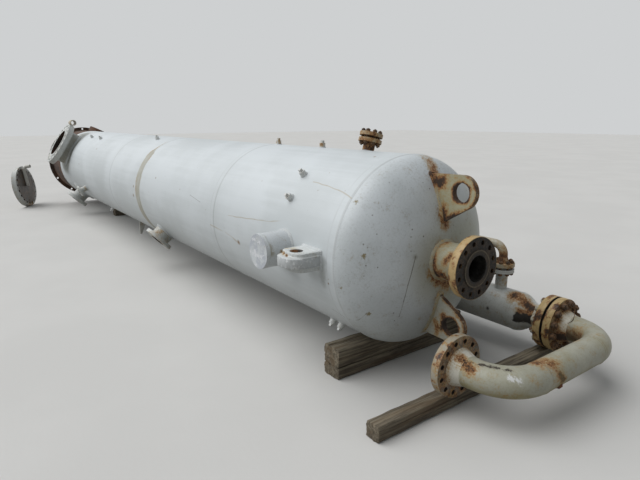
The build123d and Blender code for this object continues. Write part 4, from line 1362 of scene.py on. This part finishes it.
def cheek_bead(side, level, leg=0.007, count=260):
    """Fillet round a cheek plate on the lug's plate; level is 1 above and -1 below."""
    angle = np.linspace(0, 2 * np.pi, count, endpoint=False)
    radius = lug_outline(*cheek_size[:2], 0.0, angle)
    path = np.stack([
        lug_eye_x + radius * np.cos(angle), side * (lug_eye_out + radius * np.sin(angle)),
        np.full(count, level * plate_size[2])], 1)
    way = np.roll(path, -1, 0) - np.roll(path, 1, 0)
    out = unit(np.stack([way[:, 1], -way[:, 0], np.zeros(count)], 1)) * side
    up = np.broadcast_to(np.array([0.0, 0.0, float(level)]), out.shape)
    return bead(path, out, up, fillet_section, (leg, leg), leg, 4)


print("side lug", 2 * plate_size[0], "m wide, plate", 2 * plate_size[2], "m thick")


# %% Both side lugs with their beads
side_lug_parts = [side_lug(side) for side in (-1, 1)]
side_lug_parts += [cheek_bead(side, level) for side in (-1, 1) for level in (-1, 1)]
side_lug_plates = piece(
    "side_lug_plates", side_lug_parts, side_lug_paint, crease=50)
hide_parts("side_lugs")

# %% [markdown]
# ## Studs and nuts
#
# A line flange is drawn up with studs threaded from end to end and a heavy hexagon nut on each
# side. A nut's flats are a hexagon in section, cut back by a cone at both faces, so its radius is
# the smaller of the two. A stud is a bar whose radius rises and falls once for every turn.

# %% A nut and a threaded stud as surfaces of turn and height
def placed(profile_radius, height, origin, axis):
    """Rows of points round an axis: radius is rows by columns, height is one value a row."""
    count = profile_radius.shape[1]
    angle = np.linspace(0, 2 * np.pi, count, endpoint=False)
    side = np.zeros(3)
    side[(axis.argmax() + 1) % 3] = 1.0
    side = unit(side - axis * side.dot(axis))
    other = np.cross(axis, side)
    ring = np.cos(angle)[:, None] * side + np.sin(angle)[:, None] * other
    return np.array(origin) + profile_radius[:, :, None] * ring + height[:, None, None] * axis


def nut(origin, axis, across_flats, tall, bore, turned, columns=36):
    """Hexagon nut from its seat upwards along the axis, with both faces chamfered."""
    angle = np.linspace(0, 2 * np.pi, columns, endpoint=False) + turned
    flat = across_flats / 2
    hexagon = flat / np.cos((angle + np.pi / 6) % (np.pi / 3) - np.pi / 6)
    limits = flat * np.array([0.97, 1.06, 1.16, 1.16, 1.06, 0.97])
    radius = np.full((len(limits) + 2, columns), bore)
    radius[1:-1] = np.minimum(hexagon, limits[:, None])
    low_half = 0.07 * tall * np.array([0.0, 0.0, 1.0, 2.2])
    height = np.concatenate([low_half, tall - low_half[::-1]])
    return stitched(placed(radius, height, origin, axis))


def stud(origin, axis, diameter, low, high, pitch, columns=16):
    """Threaded bar from low to high along the axis; the thread is a triangle wave."""
    height = np.arange(low, high, pitch / 3)
    angle = np.linspace(0, 1, columns, endpoint=False)
    wave = np.abs(((height[:, None] / pitch + angle[None, :]) % 1) - 0.5) * 2
    radius = diameter / 2 - wave * pitch * 0.45
    radius[[0, -1]] = diameter / 2 - pitch * 0.6
    return stitched(placed(radius, height, origin, axis))


upright = np.array([0.0, 0.0, 1.0])
print("a nut has", len(nut((0, 0, 0), upright, 0.04, 0.025, 0.011, 0.0)[1]), "faces")


# %% Studs and nuts round a bolt circle
def bolted_joint(centre, axis, circle, count, joint, diameter, flats, pitch, tail, seed):
    """Studs and nuts round a bolt circle; joint is (low, high), the discs' outer faces."""
    chance = np.random.default_rng(seed)
    axis = np.array(axis, float)
    side = unit(np.cross(axis, [0.0, 0.0, 1.0] if abs(axis[2]) < 0.5 else [1.0, 0.0, 0.0]))
    other = np.cross(axis, side)
    parts = []
    for number in range(count):
        angle = 2 * np.pi * (number + 0.5) / count
        place = np.array(centre) + circle / 2 * (np.cos(angle) * side + np.sin(angle) * other)
        shift = chance.uniform(-0.25, 0.25) * tail
        parts.append(stud(
            place, axis, diameter, joint[0] - diameter - tail + shift,
            joint[1] + diameter + tail + shift, pitch))
        for seat, way in ((joint[0], -1), (joint[1], 1)):
            parts.append(nut(
                place + axis * seat, axis * way, flats, diameter, diameter / 2 * 0.9,
                chance.uniform(0, np.pi / 3)))
    return parts


# %% The three joints that are still bolted up
gasket_thickness = 0.0045
exchanger_joint = bolted_joint(
    (0.0, *exchanger_axis), (1, 0, 0), 0.2921, 12,
    (-flange_depth, flange_depth + gasket_thickness), 0.0254, 0.0413, 0.004, 0.009, 3)
piece("exchanger_studs", exchanger_joint, joint_rust, crease=35)

small_circle, small_depth, small_bolts = 0.127, 0.0318, (0.0159, 0.027, 0.003, 0.006)
glycol_joint = bolted_joint(
    (branch_places[0], exchanger_y, 0.0), (0, 0, 1), small_circle, 8, (-0.2717, -0.2036),
    *small_bolts, 5)
piece("glycol_studs", glycol_joint, stud_rust, crease=35)

vent_clock, vent_below = shell_nozzles["vent"][:2]
vent_face = 0.692
vent_joint = bolted_joint(
    (seam - vent_below, 0.0, 0.0), shell_way(vent_clock), small_circle, 8,
    (vent_face - small_depth, vent_face + gasket_thickness + small_depth), *small_bolts, 7)
piece("vent_studs", vent_joint, stud_rust, crease=35)

# %% [markdown]
# ## A loose wire
#
# A piece of tie wire was hooked over a stud of the bolted joint and forgotten. It drops to the neck
# below and is bent back along it. Its path is a handful of points with the corners cut off, and its
# section is a ring held square to the path.


# %% Tie wire over a stud
def corners_cut(points, rounds=3):
    """The same path with each corner replaced by points a quarter and three quarters along."""
    points = np.array(points)
    for _ in range(rounds):
        near = points[:-1] * 0.75 + points[1:] * 0.25
        far = points[:-1] * 0.25 + points[1:] * 0.75
        points = np.vstack([points[:1], np.stack([near, far], 1).reshape(-1, 3), points[-1:]])
    return points


def wire(points, radius, columns=10):
    """Round wire along a path; rows run along the path and columns round it."""
    path = corners_cut(points)
    way = unit(np.gradient(path, axis=0))
    side = unit(np.cross(way, [1.0, 0.0, 0.0]))
    angle = np.linspace(0, 2 * np.pi, columns, endpoint=False)[None, :, None]
    ring = np.cos(angle) * side[:, None] + np.sin(angle) * np.cross(side, way)[:, None]
    return stitched(path[:, None] + ring * radius)


wire_path = (
    (0.090, 0.901, -0.386), (0.091, 0.901, -0.371), (0.092, 0.926, -0.370), (0.095, 0.928, -0.392),
    (0.103, 0.916, -0.432), (0.120, 0.884, -0.441), (0.134, 0.852, -0.443), (0.140, 0.828, -0.455),
    (0.133, 0.816, -0.465), (0.113, 0.803, -0.481), (0.097, 0.796, -0.494))
piece("tie_wire", [wire(wire_path, 0.0022)], stud_rust)

# %% [markdown]
# ## A rusty lump on the bend
#
# A drain plug once stood on the outer, lower side of the crossover. It has leaked and rusted until
# only a low lump is left. The lump is a turned profile, whose outline is made uneven by waves that
# run round it.

# %% Lump where the plug was
plug_way = unit(np.array([0.82, 0.0, -0.57]))
plug_centre = (crossover_x, 0.187, exchanger_z)
lump_profile = np.array([  # radius and height over the crossover's middle
    (0.020, 0.066), (0.022, 0.080), (0.020, 0.085), (0.016, 0.088), (0.0145, 0.091),
    (0.010, 0.0945), (0.006, 0.095)])


def lump(profile, origin, axis, columns=32, square_from=5):
    """Uneven turned surface, squared off from one row of the profile on, as a plug's head is."""
    angle = np.linspace(0, 2 * np.pi, columns, endpoint=False)
    radius = np.repeat(profile[:, :1], columns, axis=1)
    corner = 1 / np.cos((angle + np.pi / 4) % (np.pi / 2) - np.pi / 4)
    radius[square_from:] = radius[square_from:] * np.minimum(corner, 1.25)
    ragged = 1 + 0.04 * np.sin(3 * angle + 1.0) + 0.03 * np.sin(7 * angle)
    return stitched(placed(radius * ragged, profile[:, 1], origin, axis))


piece(
    "bend_plug", [lump(lump_profile, plug_centre, plug_way)], plug_rust,
    crease=40)

# %% [markdown]
# ## Timbers
#
# A baulk left outside loses its arrises, dries, and opens along the grain. Each timber here is a
# rounded rectangle carried along its length. Everything that happens to it pushes the surface
# inwards: the arrises wear unevenly, the faces cup a little, and long checks wander along the top
# and sides. The ends are closed by rings that shrink to the heart.

# %% A weathered baulk from its box
def baulk(low, high, seed, columns=132, rows=110):
    """Surface of length and girth inside a box; the length runs along y."""
    chance = np.random.default_rng(seed)
    low, high = np.array(low), np.array(high)
    half_wide, length, half_tall = (high - low) * (0.5, 1.0, 0.5)
    spacing = 4 * (half_wide + half_tall) / columns
    loop, way_out = rounded_loop(half_wide, half_tall, 0.010, spacing)
    girth = np.linspace(0, 1, len(loop), endpoint=False)
    run = np.linspace(0, 1, rows)

    near_corner = half_wide - np.abs(loop[:, 0]) + half_tall - np.abs(loop[:, 1])
    arris = np.exp(-((near_corner / 0.020) ** 2))
    phases = chance.uniform(0, 2 * np.pi, 6)
    wave = sum(np.sin(run * 2 * np.pi * k * length * 1.6 + phases[k]) for k in range(1, 6)) / 5
    worn = arris[None, :] * (0.0035 + 0.0030 * wave[:, None])
    for _ in range(7):
        place = chance.uniform(0, 1)
        middle, reach = chance.uniform(0, 1), chance.uniform(0.12, 0.35)
        drift = 0.006 * np.sin(run * 2 * np.pi * chance.uniform(0.5, 1.5) + chance.uniform(0, 6))
        apart = np.abs((girth[None, :] - place - drift[:, None] + 0.5) % 1 - 0.5)
        open_along = np.clip(1 - ((run - middle) / reach) ** 2, 0, 1)[:, None]
        worn += 0.009 * open_along * np.exp(-((apart / 0.0055) ** 2))
    grain = sum(np.sin(girth * 2 * np.pi * k + chance.uniform(0, 6)) for k in (17, 29, 43)) / 3
    worn += 0.0006 * (1 + grain[None, :])

    section = loop[None] - way_out[None] * worn[:, :, None]
    points = np.zeros((rows, len(loop), 3))
    middle = (low + high) / 2
    ragged = 0.004 * np.abs(np.sin(girth * 2 * np.pi * 3 + phases[0]))
    ragged += 0.002 * np.abs(np.sin(girth * 37))
    edge_in = ragged[None, :] * (np.abs(run - 0.5)[:, None] * 2) ** 40
    points[:, :, 0] = middle[0] + section[:, :, 0]
    points[:, :, 1] = low[1] + run[:, None] * length + np.sign(0.5 - run)[:, None] * edge_in
    points[:, :, 2] = middle[2] + section[:, :, 1]

    rings = [points]
    for share in (0.8, 0.5, 0.2):
        for end, y in ((0, low[1] + 0.002), (-1, high[1] - 0.002)):
            heart = points[end].mean(0)
            ring = heart + (points[end] - heart) * share
            ring[:, 1] = y
            rings.insert(0 if end == 0 else len(rings), ring[None])
    return stitched(np.vstack(rings))


# %% Baulks for each timber node
def baulks_of(name, seed):
    """Baulks for a node that holds one timber or a stack of two, split where they meet."""
    low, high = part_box(name)
    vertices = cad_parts[name].data.vertices
    places = np.zeros(len(vertices) * 3)
    vertices.foreach_get("co", places)
    heights = np.unique(places.reshape(-1, 3)[:, 2].round(5))
    print(name, "levels", heights.tolist())
    return [
        baulk((low.x, low.y, bottom), (high.x, high.y, top), seed + number)
        for number, (bottom, top) in enumerate(heights.reshape(-1, 2))]


head_stack = piece(
    "head_baulks", baulks_of("head_timbers", 21), wood_along_y, crease=50)
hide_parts("head_timbers")
foot_stack = piece(
    "foot_baulks", baulks_of("foot_timbers", 31), wood_along_y, crease=50)
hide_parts("foot_timbers")
bend_baulk = piece(
    "bend_baulk", baulks_of("bend_timber", 41), wood_along_y, crease=50)
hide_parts("bend_timber")

# %% [markdown]
# ## Give every part its finish
#
# The solid parts keep their shape and take a material each. Parts on one line of the list were
# painted together and weathered together. One list shows at a glance that none was forgotten.

# %% Materials on the solid parts
finishes = {
    shell_paint: course_names,
    head_paint: ("top_head",),
    gas_flange_paint: ("gas_outlet_nozzle",),
    manway_paint: ("manway_nozzle",),
    inlet_paint: ("gas_inlet_nozzle", "inlet_pad"),
    middle_paint: ("middle_nozzle",),
    drain_paint: ("drain_nozzle",),
    vent_paint: ("vent_nozzle", "vent_blind"),
    socket_paint: ("davit_socket",),
    cover_paint: ("manway_cover",),
    clip_paint: ("support_clip", "davit_arm"),
    coupling_paint: ("plugged_couplings",),
    upper_lug_paint: ("upper_lifting_lug",),
    lower_lug_paint: ("lower_lifting_lug",),
    side_lug_paint: ("side_lugs",),
    trunnion_paint: ("trunnions",),
    exchanger_paint: (
        "exchanger_shell", "exchanger_reducers", "exchanger_branches", "exchanger_brackets"),
    upper_flange_paint: ("exchanger_upper_flange",),
    lower_flange_paint: ("exchanger_lower_flange",),
    glycol_paint: ("glycol_line", "glycol_line_flange"),
    bend_paint: ("bend_elbows", "bend_crossover"),
    fixed_flange_paint: ("bend_fixed_flange",),
    open_flange_paint: ("bend_open_flange",),
    gasket_grey: ("gaskets",),
    skirt_rust: ("skirt", "skirt_collar", "bottom_head"),
    ring_rust: ("base_ring",),
    wood_along_y: ("head_timbers", "foot_timbers", "bend_timber"),
}
finished = set()
for material, names in finishes.items():
    for name in names:
        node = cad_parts[name]
        for place in node.material_slots:
            place.material = material
        finished.add(name)
left = sorted(set(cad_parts) - finished)
print("finished", len(finished), "of", len(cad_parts), "- left:", left)

# %% [markdown]
# ## Picture settings
#
# The colours are meant to come out as they are written, so the view stays plain.

bpy.context.scene.view_settings.view_transform = "Standard"
